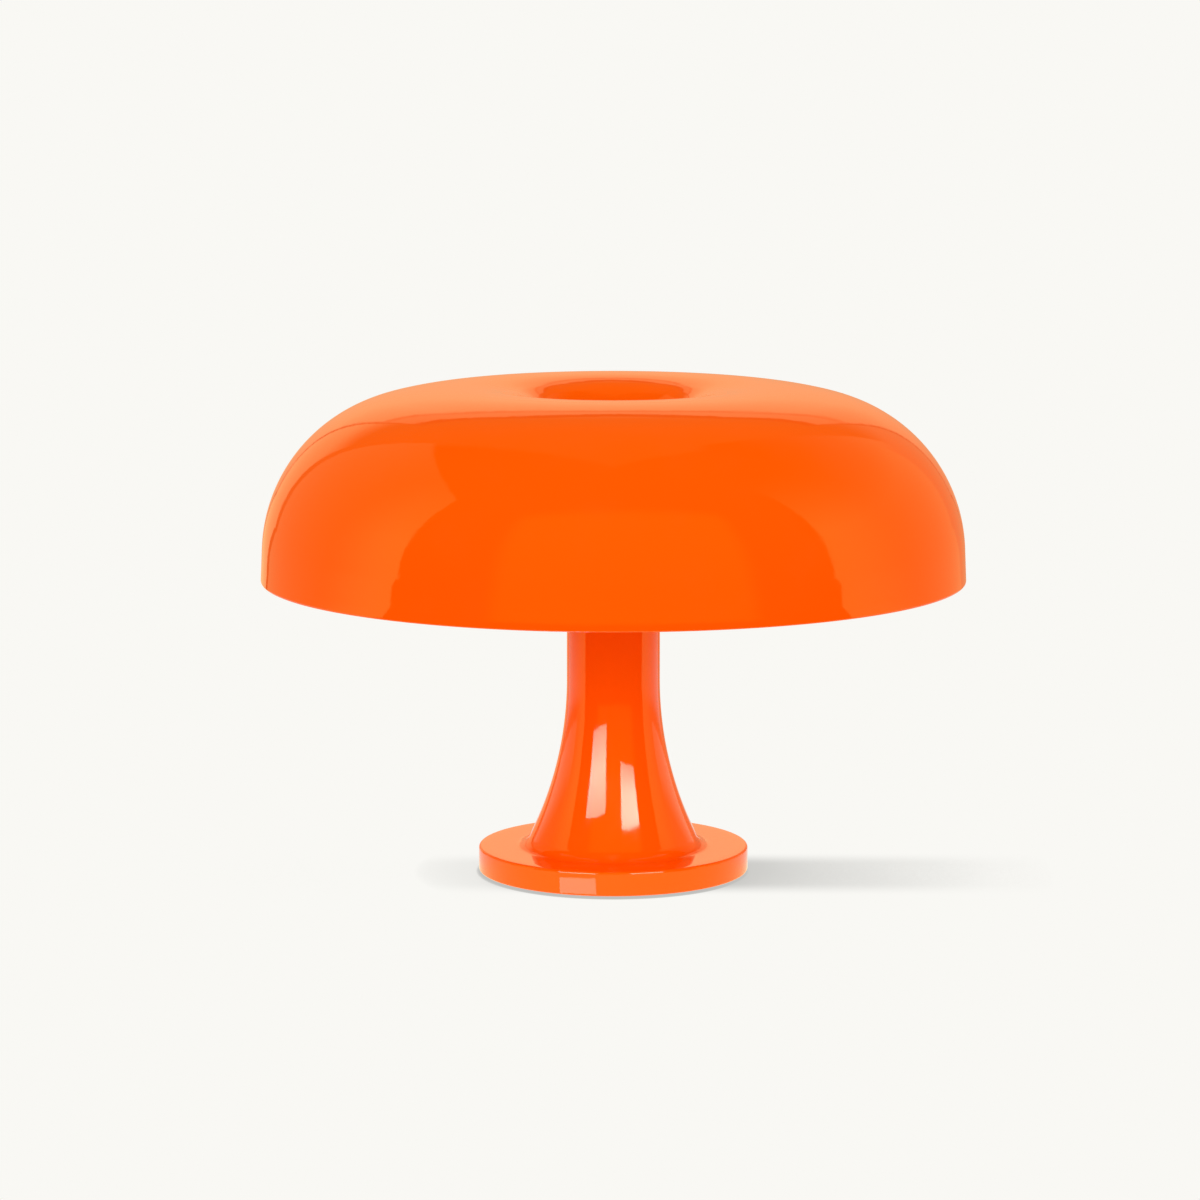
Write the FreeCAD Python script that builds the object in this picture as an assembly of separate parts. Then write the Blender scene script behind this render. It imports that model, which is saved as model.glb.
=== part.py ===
import FreeCAD, Part
import math
import os
from FreeCAD import Vector

# Mushroom table lamp. Millimetres, Z up, origin on the floor under the lamp's axis.
# The front is -Y and the cord gland is at the rear, +Y.

# Overall
lamp_height = 223.0
body_wall = 3.0
clearance = 0.3
thread_clearance = 0.05

# Foot disc
disc_diameter = 123.4
disc_height = 11.2
disc_top_rounding = 1.2
disc_bottom_rounding = 1.0
foot_stand_off = 1.0

# Stem
stem_diameter = 42.4
flare_foot_diameter = 80.6
flare_angle = 25.0
flare_radius = 162.0
foot_fillet = 7.5
stem_top_rounding = 1.5

# Shade
shade_diameter = 320.0
shade_height = 87.5
shade_wall = 2.6
side_draft = 2.5
shoulder_radius = 73.5
brow_angle = 14.1
crown_radius = 151.6
crown_ring_diameter = 134.0
crown_flat = 0.8
roll_radius = 107.0
roll_angle = 13.0
lip_share = 0.95
well_diameter = 61.6
well_depth = 69.5
well_draft = 3.5
well_floor_fillet = 2.5
rim_rounding = 0.9

# Clamp stack on the stem, from the deck up
nipple_diameter = 10.0
nipple_bore = 7.0
nipple_below_deck = 8.0
bracket_thickness = 2.0
nipple_washer_diameter = 16.5
nipple_washer_thickness = 1.0
nut_flats = 14.0
nut_thickness = 4.0
spacer_diameter = 15.0
spacer_length = 5.0
seat_diameter = 40.0
seat_thickness = 2.0
shade_washer_diameter = 24.0
shade_washer_thickness = 1.0

# Lock knob
knob_diameter = 29.0
knob_height = 14.0
knob_top = 2.6
knob_rounding = 2.5
knob_flutes = 10
knob_flute_radius = 3.0
knob_flute_depth = 1.1
insert_diameter = 14.0

# Socket bracket and lamp holders
holder_count = 4
well_gap = 6.6
holder_axis_rise = 21.1
arm_width = 12.0
tab_bend_radius = 2.5
tab_above_axis = 7.0
holder_diameter = 26.0
holder_front_diameter = 24.0
holder_cap_length = 14.0
holder_floor = 6.0
holder_rounding = 1.2
sleeve_wall = 0.6
sleeve_setback = 2.0
contact_width = 5.0
contact_thickness = 0.5
contact_rise = 3.2
holder_screw_diameter = 4.0
holder_screw_length = 7.0
holder_screw_head_diameter = 7.0
holder_screw_head_height = 2.4
port_offset = 9.0
port_height = 4.0
port_depth = 4.0

# Bulbs
cap_diameter = 13.9
cap_thread_depth = 0.5
cap_thread_pitch = 2.822
cap_wall = 0.8
bulb_length = 78.0
bulb_tip_length = 1.4
bulb_tip_diameter = 5.2
insulator_length = 3.0
insulator_diameter = 6.6
thread_length = 16.0
collar_wall = 0.95
collar_length = 5.0
neck_diameter = 15.4
neck_blend = 10.0
globe_diameter = 45.0
glass_wall = 1.0

# Leads
lead_diameter = 2.2
lead_clearance = 0.2
lead_bend_share = 0.45
bush_wall = 0.5
bush_flange = 0.6
bush_flange_thickness = 1.0
lead_rise = 6.0
lead_loop_radius = 40.7
port_approach = 2.6
jumper_reach = 20.0

# Underside
plate_thickness = 2.0
plate_screw_count = 3
plate_screw_diameter = 2.5
plate_screw_length = 7.0
plate_screw_head_diameter = 5.6
plate_screw_head_height = 1.6
boss_diameter = 7.0
boss_inset = 8.2
pad_count = 4
pad_diameter = 12.0
pad_recess = 0.6
pad_inset = 12.0
pad_rounding = 0.4
ballast_bore = 48.0
cross_recess_share = 0.6
cross_recess_width = 0.9
cross_recess_depth = 1.0

# Cord gland
gland_bore = 5.2
gland_wall = 0.8
gland_lip = 0.6
gland_outer_flange = 1.2
gland_inner_flange = 1.5
gland_rounding = 0.5

# Terminal block
block_width = 20.0
block_depth = 16.0
block_height = 11.0
block_rounding = 1.5
pole_offset = 5.0
pole_height = 4.5
pole_sleeve_diameter = 4.2
pole_sleeve_bore = 3.0
pole_sleeve_setback = 1.0
clamp_screw_offset = 4.0
clamp_screw_diameter = 2.5
clamp_screw_top = 1.2
fixing_screw_diameter = 3.0
fixing_head_diameter = 5.2
fixing_head_height = 2.0

# Levels
disc_bottom = foot_stand_off
disc_top = disc_bottom + disc_height
ceiling = disc_top - body_wall
plate_top = disc_bottom + plate_thickness
well_floor = lamp_height - well_depth
seat_top = well_floor - shade_wall
spacer_top = seat_top - seat_thickness
upper_nut_top = spacer_top - spacer_length
upper_washer_top = upper_nut_top - nut_thickness
bracket_top = upper_washer_top - nipple_washer_thickness
deck_top = bracket_top - bracket_thickness
deck_bottom = deck_top - body_wall
knob_bottom = well_floor + shade_washer_thickness
knob_roof = knob_bottom + knob_height - knob_top
rim_level = lamp_height - shade_height
gland_level = disc_bottom + disc_height / 2
holder_axis_level = bracket_top + holder_axis_rise
bush_top = bracket_top + bush_flange_thickness
lead_run_level = bracket_top + lead_rise

# Radii
disc_radius = disc_diameter / 2
cavity_radius = disc_radius - body_wall
plate_radius = cavity_radius - clearance
stem_radius = stem_diameter / 2
nipple_radius = nipple_diameter / 2
nipple_hole_radius = nipple_radius + clearance
nipple_fit_radius = nipple_radius + thread_clearance
boss_circle_radius = cavity_radius - boss_inset
pad_circle_radius = cavity_radius - pad_inset
gland_neck_diameter = gland_bore + 2 * gland_wall
gland_flange_diameter = gland_neck_diameter + 2 * gland_lip
lead_radius = lead_diameter / 2
lead_spacing = lead_diameter + lead_clearance
bush_bore = lead_spacing + lead_diameter + 2 * clearance
bush_circle_radius = (stem_radius - body_wall + nipple_washer_diameter / 2) / 2

# Holder and bulb, lengths from the rear face of the holder
holder_rear = well_diameter / 2 + shade_wall + well_gap
sleeve_diameter = cap_diameter + 2 * clearance + 2 * sleeve_wall
bulb_tip = holder_floor + contact_rise + clearance
cap_start = bulb_tip + bulb_tip_length + insulator_length
cap_end = cap_start + thread_length
holder_length = cap_end + clearance
collar_diameter = neck_diameter + 2 * thread_clearance + 2 * collar_wall
globe_centre = bulb_tip + bulb_length - globe_diameter / 2
holder_angles = [360.0 * i / holder_count for i in range(holder_count)]
lead_angle = -180.0 / holder_count

# Most of a straight run that the roundings at its two ends may take up
run_share = 0.99

UP = Vector(0, 0, 1)
ORIGIN = Vector(0, 0, 0)


def at(radius, level):
    return Vector(radius, 0, level)


def polar(radius, angle, level=0.0):
    turn = math.radians(angle)
    return Vector(radius * math.cos(turn), radius * math.sin(turn), level)


def turned_point(point, angle):
    return FreeCAD.Rotation(UP, angle).multVec(point)


def rounded_edges(points, radii, closed):
    """Straight runs through the points, joined by tangent arcs that the runs limit."""
    count = len(points)
    tangents = [0.0] * count
    half_angles = [0.0] * count
    for i in range(count):
        if not closed and i in (0, count - 1):
            continue
        back = (points[i - 1] - points[i]).normalize()
        ahead = (points[(i + 1) % count] - points[i]).normalize()
        half_angles[i] = back.getAngle(ahead) / 2
        if radii[i] > 0:
            tangents[i] = radii[i] / math.tan(half_angles[i])
    runs = count if closed else count - 1
    for i in range(runs):
        j = (i + 1) % count
        length = (points[j] - points[i]).Length
        wanted = tangents[i] + tangents[j]
        room = run_share * length
        if wanted > room:
            tangents[i] *= room / wanted
            tangents[j] *= room / wanted
    edges = []
    starts = []
    ends = []
    arcs = []
    for i in range(count):
        if tangents[i] == 0:
            starts.append(points[i])
            ends.append(points[i])
            arcs.append(None)
            continue
        back = (points[i - 1] - points[i]).normalize()
        ahead = (points[(i + 1) % count] - points[i]).normalize()
        radius = tangents[i] * math.tan(half_angles[i])
        inward = (back + ahead).normalize()
        middle = points[i] + inward * (radius / math.sin(half_angles[i]) - radius)
        starts.append(points[i] + back * tangents[i])
        ends.append(points[i] + ahead * tangents[i])
        arcs.append(Part.Arc(starts[i], middle, ends[i]).toShape())
    for i in range(count):
        if arcs[i] is not None:
            edges.append(arcs[i])
        if i < runs:
            edges.append(Part.LineSegment(ends[i], starts[(i + 1) % count]).toShape())
    return edges


def turned(corners):
    """Solid of revolution about Z from (radius, level, rounding) corners."""
    points = [at(c[0], c[1]) for c in corners]
    radii = [c[2] if len(c) > 2 else 0.0 for c in corners]
    face = Part.Face(Part.Wire(rounded_edges(points, radii, True)))
    return face.revolve(ORIGIN, UP, 360)


def inset(corners, wall):
    """Open chain of corners moved to the left by the wall, roundings kept parallel."""
    points = [at(c[0], c[1]) for c in corners]
    heads = [(points[i + 1] - points[i]).normalize() for i in range(len(points) - 1)]
    sides = [Vector(-h.z, 0, h.x) for h in heads]
    moved = []
    for i, corner in enumerate(corners):
        if i == 0:
            place = points[0] + sides[0] * wall
            rounding = 0.0
        elif i == len(corners) - 1:
            place = points[i] + sides[-1] * wall
            rounding = 0.0
        else:
            mitre = sides[i - 1] + sides[i]
            place = points[i] + mitre * (wall / (1 + sides[i - 1].dot(sides[i])))
            left_turn = heads[i - 1].z * heads[i].x - heads[i - 1].x * heads[i].z < 0
            rounding = max(corner[2] - wall, 0.0) if left_turn else corner[2] + wall
        moved.append((place.x, place.z, rounding))
    return moved


def tube(outer_diameter, inner_diameter, bottom, top):
    outer = Part.makeCylinder(outer_diameter / 2, top - bottom, at(0, bottom))
    return outer.cut(Part.makeCylinder(inner_diameter / 2, top - bottom, at(0, bottom)))


def moved(shape, offset):
    copy = shape.copy()
    copy.translate(offset)
    return copy


def spun(shape, angle):
    copy = shape.copy()
    copy.rotate(ORIGIN, UP, angle)
    return copy


def on_holder(shape, angle):
    """Places a part made along +Z from the holder's rear face on one of the holders."""
    copy = shape.copy()
    copy.rotate(ORIGIN, Vector(0, 1, 0), 90)
    copy.translate(at(holder_rear, holder_axis_level))
    copy.rotate(ORIGIN, UP, angle)
    return copy


def cross_recess(reach, depth):
    bar = Part.makeBox(reach, cross_recess_width, depth)
    bar.translate(Vector(-reach / 2, -cross_recess_width / 2, 0))
    return bar.fuse(spun(bar, 90))


def lead(points, tight_bends):
    """Round insulated lead along straight runs joined by tangent arcs.

    An arc is as large as its two runs allow, or as its tight bend says."""
    radii = [0.0] * len(points)
    for i in range(1, len(points) - 1):
        back = points[i - 1] - points[i]
        ahead = points[i + 1] - points[i]
        half = back.getAngle(ahead) / 2
        radii[i] = lead_bend_share * min(back.Length, ahead.Length) * math.tan(half)
        radii[i] = min(radii[i], tight_bends.get(i, radii[i]))
    path = Part.Wire(rounded_edges(points, radii, False))
    ring = Part.makeCircle(lead_radius, points[0], points[1] - points[0])
    return path.makePipeShell([Part.Wire(ring)], True, False)


def save(shapes, node):
    solids = shapes if isinstance(shapes, list) else [shapes]
    shape = solids[0] if len(solids) == 1 else Part.makeCompound(solids)
    shape.exportStep("parts/" + node + ".step")


def make_base_stem():
    foot_radius = flare_foot_diameter / 2
    flare_rise = (foot_radius - stem_radius) / math.tan(math.radians(flare_angle))
    outside = [
        (disc_radius, disc_bottom, disc_bottom_rounding),
        (disc_radius, disc_top, disc_top_rounding),
        (foot_radius, disc_top, foot_fillet),
        (stem_radius, disc_top + flare_rise, flare_radius),
        (stem_radius, deck_top, stem_top_rounding),
        (nipple_hole_radius, deck_top, 0.0),
    ]
    inside = inset(outside, body_wall)
    body = turned(outside + inside[::-1])
    overlap = body_wall / 2
    boss = Part.makeCylinder(boss_diameter / 2, ceiling + overlap - plate_top, at(boss_circle_radius, plate_top))
    pilot_radius = plate_screw_diameter / 2 + thread_clearance
    pilot_depth = disc_bottom + plate_screw_length + clearance - plate_top
    pilot = Part.makeCylinder(pilot_radius, pilot_depth, at(boss_circle_radius, plate_top))
    for angle in plate_screw_angles():
        body = body.fuse(spun(boss, angle))
    for angle in plate_screw_angles():
        body = body.cut(spun(pilot, angle))
    hole_radius = gland_neck_diameter / 2 + thread_clearance
    inlet = Part.makeCylinder(hole_radius, 2 * body_wall, gland_point(cavity_radius - body_wall / 2), Vector(0, 1, 0))
    body = body.cut(inlet).cut(gland_pocket())
    return body.cut(bush_hole(deck_bottom, deck_top))


def plate_screw_angles():
    return [-90.0 + 360.0 * i / plate_screw_count for i in range(plate_screw_count)]


def pad_angles():
    return [45.0 + 360.0 * i / pad_count for i in range(pad_count)]


def gland_point(reach):
    return Vector(0, reach, gland_level)


def gland_pocket():
    """Room for the gland's inner flange between the foot disc and the plate."""
    depth = gland_inner_flange + 2 * clearance
    radius = gland_flange_diameter / 2 + clearance
    return Part.makeCylinder(radius, depth, gland_point(cavity_radius - depth), Vector(0, 1, 0))


def bush_hole(bottom, top):
    radius = bush_bore / 2 + bush_wall + thread_clearance
    return Part.makeCylinder(radius, top - bottom, polar(bush_circle_radius, lead_angle, bottom))


def make_base_plate():
    plate = Part.makeCylinder(plate_radius, plate_thickness, at(0, disc_bottom))
    shaft_hole = Part.makeCylinder(plate_screw_diameter / 2 + clearance, plate_thickness, at(boss_circle_radius, disc_bottom))
    head_radius = plate_screw_head_diameter / 2 + thread_clearance
    sink = Part.makeCone(head_radius, plate_screw_diameter / 2, plate_screw_head_height, at(boss_circle_radius, disc_bottom))
    for angle in plate_screw_angles():
        plate = plate.cut(spun(shaft_hole.fuse(sink), angle))
    recess = Part.makeCylinder(pad_diameter / 2 + thread_clearance, pad_recess, at(pad_circle_radius, disc_bottom))
    for angle in pad_angles():
        plate = plate.cut(spun(recess, angle))
    plate = plate.cut(gland_pocket())
    return plate.cut(Part.makeCylinder(fixing_screw_diameter / 2 + thread_clearance, plate_thickness, at(0, disc_bottom)))


def make_base_screws():
    head = Part.makeCone(
        plate_screw_head_diameter / 2, plate_screw_diameter / 2, plate_screw_head_height, at(boss_circle_radius, disc_bottom)
    )
    shaft = Part.makeCylinder(plate_screw_diameter / 2, plate_screw_length, at(boss_circle_radius, disc_bottom))
    recess = moved(cross_recess(plate_screw_head_diameter * cross_recess_share, cross_recess_depth), at(boss_circle_radius, disc_bottom))
    screw = head.fuse(shaft).cut(recess)
    return [spun(screw, angle) for angle in plate_screw_angles()]


def make_foot_pads():
    radius = pad_diameter / 2
    pad = turned([
        (0.0, 0.0),
        (radius, 0.0, pad_rounding),
        (radius, disc_bottom + pad_recess),
        (0.0, disc_bottom + pad_recess),
    ])
    return [spun(moved(pad, at(pad_circle_radius, 0)), angle) for angle in pad_angles()]


def make_ballast_ring():
    ring = tube(2 * (cavity_radius - 2 * clearance), ballast_bore, plate_top, ceiling - clearance)
    height = ceiling - plate_top
    boss_hole = Part.makeCylinder(boss_diameter / 2 + clearance, height, at(boss_circle_radius, plate_top))
    for angle in plate_screw_angles():
        ring = ring.cut(spun(boss_hole, angle))
    slot_width = gland_flange_diameter + 2 * clearance
    slot = Part.makeBox(slot_width, disc_radius, height, Vector(-slot_width / 2, 0, plate_top))
    return ring.cut(slot)


def make_cord_gland():
    bore = gland_bore / 2
    neck = gland_neck_diameter / 2
    flange = gland_flange_diameter / 2
    inner_seat = cavity_radius - clearance
    gland = turned([
        (bore, inner_seat - gland_inner_flange),
        (flange, inner_seat - gland_inner_flange, gland_rounding),
        (flange, inner_seat),
        (neck, inner_seat),
        (neck, disc_radius),
        (flange, disc_radius),
        (flange, disc_radius + gland_outer_flange, gland_rounding),
        (bore, disc_radius + gland_outer_flange, gland_rounding),
    ])
    gland.rotate(ORIGIN, Vector(1, 0, 0), -90)
    return moved(gland, gland_point(0.0))


def make_terminal_block():
    half = block_width / 2
    outline = [
        Vector(-half, 0, plate_top),
        Vector(half, 0, plate_top),
        Vector(half, 0, plate_top + block_height),
        Vector(-half, 0, plate_top + block_height),
    ]
    edges = rounded_edges(outline, [0.0, 0.0, block_rounding, block_rounding], True)
    block = Part.Face(Part.Wire(edges)).extrude(Vector(0, block_depth, 0))
    block.translate(Vector(0, -block_depth / 2, 0))
    sleeve_radius = pole_sleeve_diameter / 2 + thread_clearance
    well_height = block_height - pole_height
    for x in (-pole_offset, pole_offset):
        start = Vector(x, -block_depth / 2, plate_top + pole_height)
        block = block.cut(Part.makeCylinder(sleeve_radius, block_depth, start, Vector(0, 1, 0)))
        for y in (-clamp_screw_offset, clamp_screw_offset):
            well = Part.makeCylinder(clamp_screw_diameter / 2 + clearance, well_height, start + Vector(0, y + block_depth / 2, 0))
            block = block.cut(well)
    hole = Part.makeCylinder(fixing_screw_diameter / 2 + clearance, block_height, at(0, plate_top))
    sink = Part.makeCylinder(fixing_head_diameter / 2 + clearance, block_height, at(0, fixing_head_level()))
    return block.cut(hole.fuse(sink))


def fixing_head_level():
    return plate_top + block_height - fixing_head_height - clamp_screw_top


def make_terminal_sleeves():
    length = block_depth - 2 * pole_sleeve_setback
    sleeves = []
    for x in (-pole_offset, pole_offset):
        start = Vector(x, -length / 2, plate_top + pole_height)
        sleeve = Part.makeCylinder(pole_sleeve_diameter / 2, length, start, Vector(0, 1, 0))
        sleeve = sleeve.cut(Part.makeCylinder(pole_sleeve_bore / 2, length, start, Vector(0, 1, 0)))
        for y in (-clamp_screw_offset, clamp_screw_offset):
            hole_radius = clamp_screw_diameter / 2 + thread_clearance
            hole = Part.makeCylinder(hole_radius, pole_sleeve_diameter, Vector(x, y, plate_top + pole_height))
            sleeve = sleeve.cut(hole)
        sleeves.append(sleeve)
    return sleeves


def make_terminal_screws():
    bottom = plate_top + pole_height + lead_radius + lead_clearance
    top = plate_top + block_height - clamp_screw_top
    radius = clamp_screw_diameter / 2
    slot = Part.makeBox(2 * radius, cross_recess_width / 2, cross_recess_depth)
    slot.translate(Vector(-radius, -cross_recess_width / 4, top - cross_recess_depth))
    screw = Part.makeCylinder(radius, top - bottom, at(0, bottom)).cut(slot)
    places = [(x, y) for x in (-pole_offset, pole_offset) for y in (-clamp_screw_offset, clamp_screw_offset)]
    return [moved(screw, Vector(x, y, 0)) for x, y in places]


def make_terminal_fixing_screw():
    head_level = fixing_head_level()
    shaft = Part.makeCylinder(fixing_screw_diameter / 2, head_level - disc_bottom - clearance, at(0, disc_bottom + clearance))
    head = turned([
        (0.0, head_level),
        (fixing_head_diameter / 2, head_level),
        (fixing_head_diameter / 2, head_level + fixing_head_height, fixing_head_height / 2),
        (0.0, head_level + fixing_head_height),
    ])
    recess = cross_recess(fixing_head_diameter * cross_recess_share, cross_recess_depth)
    recess.translate(at(0, head_level + fixing_head_height - cross_recess_depth))
    return shaft.fuse(head).cut(recess)


def make_stem_nipple():
    return tube(nipple_diameter, nipple_bore, deck_bottom - nipple_below_deck, knob_roof - clearance)


def make_nut(bottom):
    corner_radius = nut_flats / 2 / math.cos(math.radians(30))
    corners = [polar(corner_radius, 60.0 * i, bottom) for i in range(7)]
    nut = Part.Face(Part.makePolygon(corners)).extrude(at(0, nut_thickness))
    chamfer = corner_radius - nut_flats / 2
    bounding = turned([
        (0.0, bottom),
        (nut_flats / 2, bottom),
        (corner_radius, bottom + chamfer / 2),
        (corner_radius, bottom + nut_thickness - chamfer / 2),
        (nut_flats / 2, bottom + nut_thickness),
        (0.0, bottom + nut_thickness),
    ])
    return nut.common(bounding).cut(Part.makeCylinder(nipple_fit_radius, nut_thickness, at(0, bottom)))


def make_socket_bracket():
    hub_radius = stem_radius - stem_top_rounding
    plate = Part.makeCylinder(hub_radius, bracket_thickness, at(0, deck_top))
    tab_top = holder_axis_level + tab_above_axis
    chain = [
        (0.0, deck_top, 0.0),
        (holder_rear, deck_top, tab_bend_radius + bracket_thickness),
        (holder_rear, tab_top, 0.0),
    ]
    chain_inner = inset(chain, bracket_thickness)
    corners = chain + chain_inner[::-1]
    edges = rounded_edges([at(c[0], c[1]) for c in corners], [c[2] for c in corners], True)
    arm = Part.Face(Part.Wire(edges)).extrude(Vector(0, arm_width, 0))
    arm.translate(Vector(0, -arm_width / 2, 0))
    screw_hole = Part.makeCylinder(
        holder_screw_diameter / 2 + clearance,
        2 * bracket_thickness,
        at(holder_rear - 1.5 * bracket_thickness, holder_axis_level),
        Vector(1, 0, 0),
    )
    for angle in holder_angles:
        plate = plate.fuse(spun(arm, angle))
    for angle in holder_angles:
        plate = plate.cut(spun(screw_hole, angle))
    plate = plate.cut(Part.makeCylinder(nipple_hole_radius, bracket_thickness, at(0, deck_top)))
    return plate.cut(bush_hole(deck_top, bracket_top)).removeSplitter()


def make_wire_bush():
    neck = bush_bore / 2 + bush_wall
    flange = neck + bush_flange
    bottom = deck_bottom - bush_flange_thickness
    bush = turned([
        (bush_bore / 2, bottom),
        (flange, bottom),
        (flange, deck_bottom),
        (neck, deck_bottom),
        (neck, bracket_top),
        (flange, bracket_top),
        (flange, bush_top),
        (bush_bore / 2, bush_top),
    ])
    return moved(bush, polar(bush_circle_radius, lead_angle))


def port_places(sides):
    """Lead ports in the rear face: across and height, seen along the holder's axis."""
    return [(side * port_offset, level) for side in sides for level in (-port_height, port_height)]


def make_lamp_holder():
    bore = sleeve_diameter / 2 + thread_clearance
    holder = turned([
        (0.0, 0.0),
        (holder_diameter / 2, 0.0, holder_rounding),
        (holder_diameter / 2, holder_cap_length, holder_rounding),
        (holder_front_diameter / 2, holder_cap_length),
        (holder_front_diameter / 2, holder_length, holder_rounding),
        (bore, holder_length, holder_rounding),
        (bore, holder_floor),
        (0.0, holder_floor),
    ])
    tapped_depth = holder_screw_length - bracket_thickness
    holder = holder.cut(Part.makeCylinder(holder_screw_diameter / 2 + thread_clearance, tapped_depth))
    for across, height in port_places((-1, 1)):
        port = Part.makeCylinder(lead_radius + lead_clearance, port_depth, Vector(-height, across, 0))
        holder = holder.cut(port)
    return holder


def make_holder_sleeve():
    return tube(sleeve_diameter, sleeve_diameter - 2 * sleeve_wall, holder_floor + sleeve_setback, holder_length - sleeve_setback)


def make_holder_contact():
    reach = sleeve_diameter / 2 - sleeve_wall - sleeve_setback
    crest = holder_floor + contact_rise
    outline = [
        Vector(-reach, 0, holder_floor),
        Vector(reach, 0, holder_floor),
        Vector(reach, 0, holder_floor + 2 * contact_thickness),
        Vector(contact_width / 4, 0, crest),
        Vector(-contact_width / 4, 0, crest),
        Vector(-contact_width / 4, 0, crest - contact_thickness),
        Vector(contact_width / 4 - contact_thickness, 0, crest - contact_thickness),
        Vector(reach - 2 * contact_thickness, 0, holder_floor + contact_thickness),
        Vector(-reach, 0, holder_floor + contact_thickness),
    ]
    leaf = Part.Face(Part.makePolygon(outline + outline[:1])).extrude(Vector(0, contact_width, 0))
    return moved(leaf, Vector(0, -contact_width / 2, 0))


def make_holder_screw():
    head_radius = holder_screw_head_diameter / 2
    head_seat = -bracket_thickness
    head_top = head_seat - holder_screw_head_height
    head = turned([
        (0.0, head_top),
        (head_radius, head_top, holder_screw_head_height / 2),
        (head_radius, head_seat),
        (0.0, head_seat),
    ])
    shaft_length = holder_screw_length - clearance
    shaft = Part.makeCylinder(holder_screw_diameter / 2, shaft_length, at(0, head_seat))
    recess = moved(cross_recess(holder_screw_head_diameter * cross_recess_share, cross_recess_depth), at(0, head_top))
    return head.fuse(shaft).cut(recess)


def make_bulb_contact():
    radius = bulb_tip_diameter / 2
    top = bulb_tip + bulb_tip_length
    return turned([(0.0, bulb_tip), (radius, bulb_tip, bulb_tip_length), (radius, top), (0.0, top)])


def make_bulb_insulator():
    bottom = bulb_tip + bulb_tip_length
    root = cap_diameter / 2 - cap_thread_depth
    return turned([
        (0.0, bottom),
        (insulator_diameter / 2, bottom, clearance),
        (root - clearance, cap_start),
        (0.0, cap_start),
    ])


def make_bulb_cap():
    crest = cap_diameter / 2
    root = crest - cap_thread_depth
    bore = root - cap_wall
    collar_end = cap_end + collar_length
    ridges = int(thread_length / cap_thread_pitch)
    chain = [(0.0, cap_start, 0.0), (root, cap_start, 0.0)]
    for i in range(ridges):
        foot = cap_start + i * cap_thread_pitch
        chain.append((root, foot + 0.25 * cap_thread_pitch, cap_thread_depth))
        chain.append((crest, foot + 0.5 * cap_thread_pitch, cap_thread_depth))
        chain.append((crest, foot + 0.75 * cap_thread_pitch, cap_thread_depth))
        chain.append((root, foot + cap_thread_pitch, cap_thread_depth))
    flare_end = cap_end + collar_length / 2
    chain += [
        (root, cap_end + clearance, cap_wall),
        (collar_diameter / 2, flare_end, cap_wall),
        (collar_diameter / 2, collar_end, 0.0),
        (neck_diameter / 2 + thread_clearance, collar_end, 0.0),
        (neck_diameter / 2 + thread_clearance, flare_end, 0.0),
        (bore, cap_end, 0.0),
        (bore, cap_start + cap_wall, 0.0),
        (0.0, cap_start + cap_wall, 0.0),
    ]
    return turned(chain)


def globe_outline(offset):
    """Start, blend and globe points of one glass surface, moved inwards by the offset."""
    globe = globe_diameter / 2 - offset
    neck = neck_diameter / 2 - offset
    blend = neck_blend + offset
    run = math.sqrt((globe + blend) ** 2 - (neck + blend) ** 2)
    blend_centre = at(neck + blend, globe_centre - run)
    middle = at(0, globe_centre)
    join = blend_centre + (middle - blend_centre).normalize() * blend
    blend_middle = blend_centre + ((join - blend_centre) + at(-blend, 0)).normalize() * blend
    globe_middle = middle + ((join - middle) + at(0, globe)).normalize() * globe
    start = at(neck, cap_end + collar_length / 2 + thread_clearance)
    neck_end = at(neck, globe_centre - run)
    pole = at(0, globe_centre + globe)
    return start, neck_end, blend_middle, join, globe_middle, pole


def make_bulb_glass():
    outer = globe_outline(0.0)
    inner = globe_outline(glass_wall)
    edges = [Part.LineSegment(inner[0], outer[0]).toShape(), Part.LineSegment(outer[5], inner[5]).toShape()]
    for side in (outer, inner):
        edges.append(Part.LineSegment(side[0], side[1]).toShape())
        edges.append(Part.Arc(side[1], side[2], side[3]).toShape())
        edges.append(Part.Arc(side[3], side[4], side[5]).toShape())
    face = Part.Face(Part.Wire(Part.__sortEdges__(edges)))
    return face.revolve(ORIGIN, UP, 360)


def shade_outside():
    """Outside of the shade from the rim over the crown down to the floor of the well."""
    draft = math.tan(math.radians(side_draft))
    brow = math.tan(math.radians(brow_angle))
    dip = math.tan(math.radians(roll_angle))
    pinch = math.tan(math.radians(well_draft))
    flat_outer = (crown_ring_diameter + crown_flat) / 2
    flat_inner = (crown_ring_diameter - crown_flat) / 2
    brow_reach = flat_outer + crown_radius * math.tan(math.radians(brow_angle / 2))
    roll_reach = flat_inner - roll_radius * math.tan(math.radians(roll_angle / 2))
    rim_radius = shade_diameter / 2
    brow_rise = lamp_height - rim_level - (rim_radius - brow_reach) * brow
    shoulder_level = rim_level + brow_rise / (1 - draft * brow)
    shoulder_reach = rim_radius - (shoulder_level - rim_level) * draft
    well_radius = well_diameter / 2
    lip_level = lamp_height - (roll_reach - well_radius) * dip
    roll_end = flat_inner - roll_radius * math.sin(math.radians(roll_angle))
    lip_run = (roll_end - well_radius) / math.cos(math.radians(roll_angle))
    lip_radius = lip_share * lip_run / math.tan(math.radians((90 - well_draft - roll_angle) / 2))
    floor_radius = well_radius - (lip_level - well_floor) * pinch
    return [
        (rim_radius, rim_level, rim_rounding),
        (shoulder_reach, shoulder_level, shoulder_radius),
        (brow_reach, lamp_height, crown_radius),
        (roll_reach, lamp_height, roll_radius),
        (well_radius, lip_level, lip_radius),
        (floor_radius, well_floor, well_floor_fillet),
        (nipple_hole_radius, well_floor, 0.0),
    ]


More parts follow.
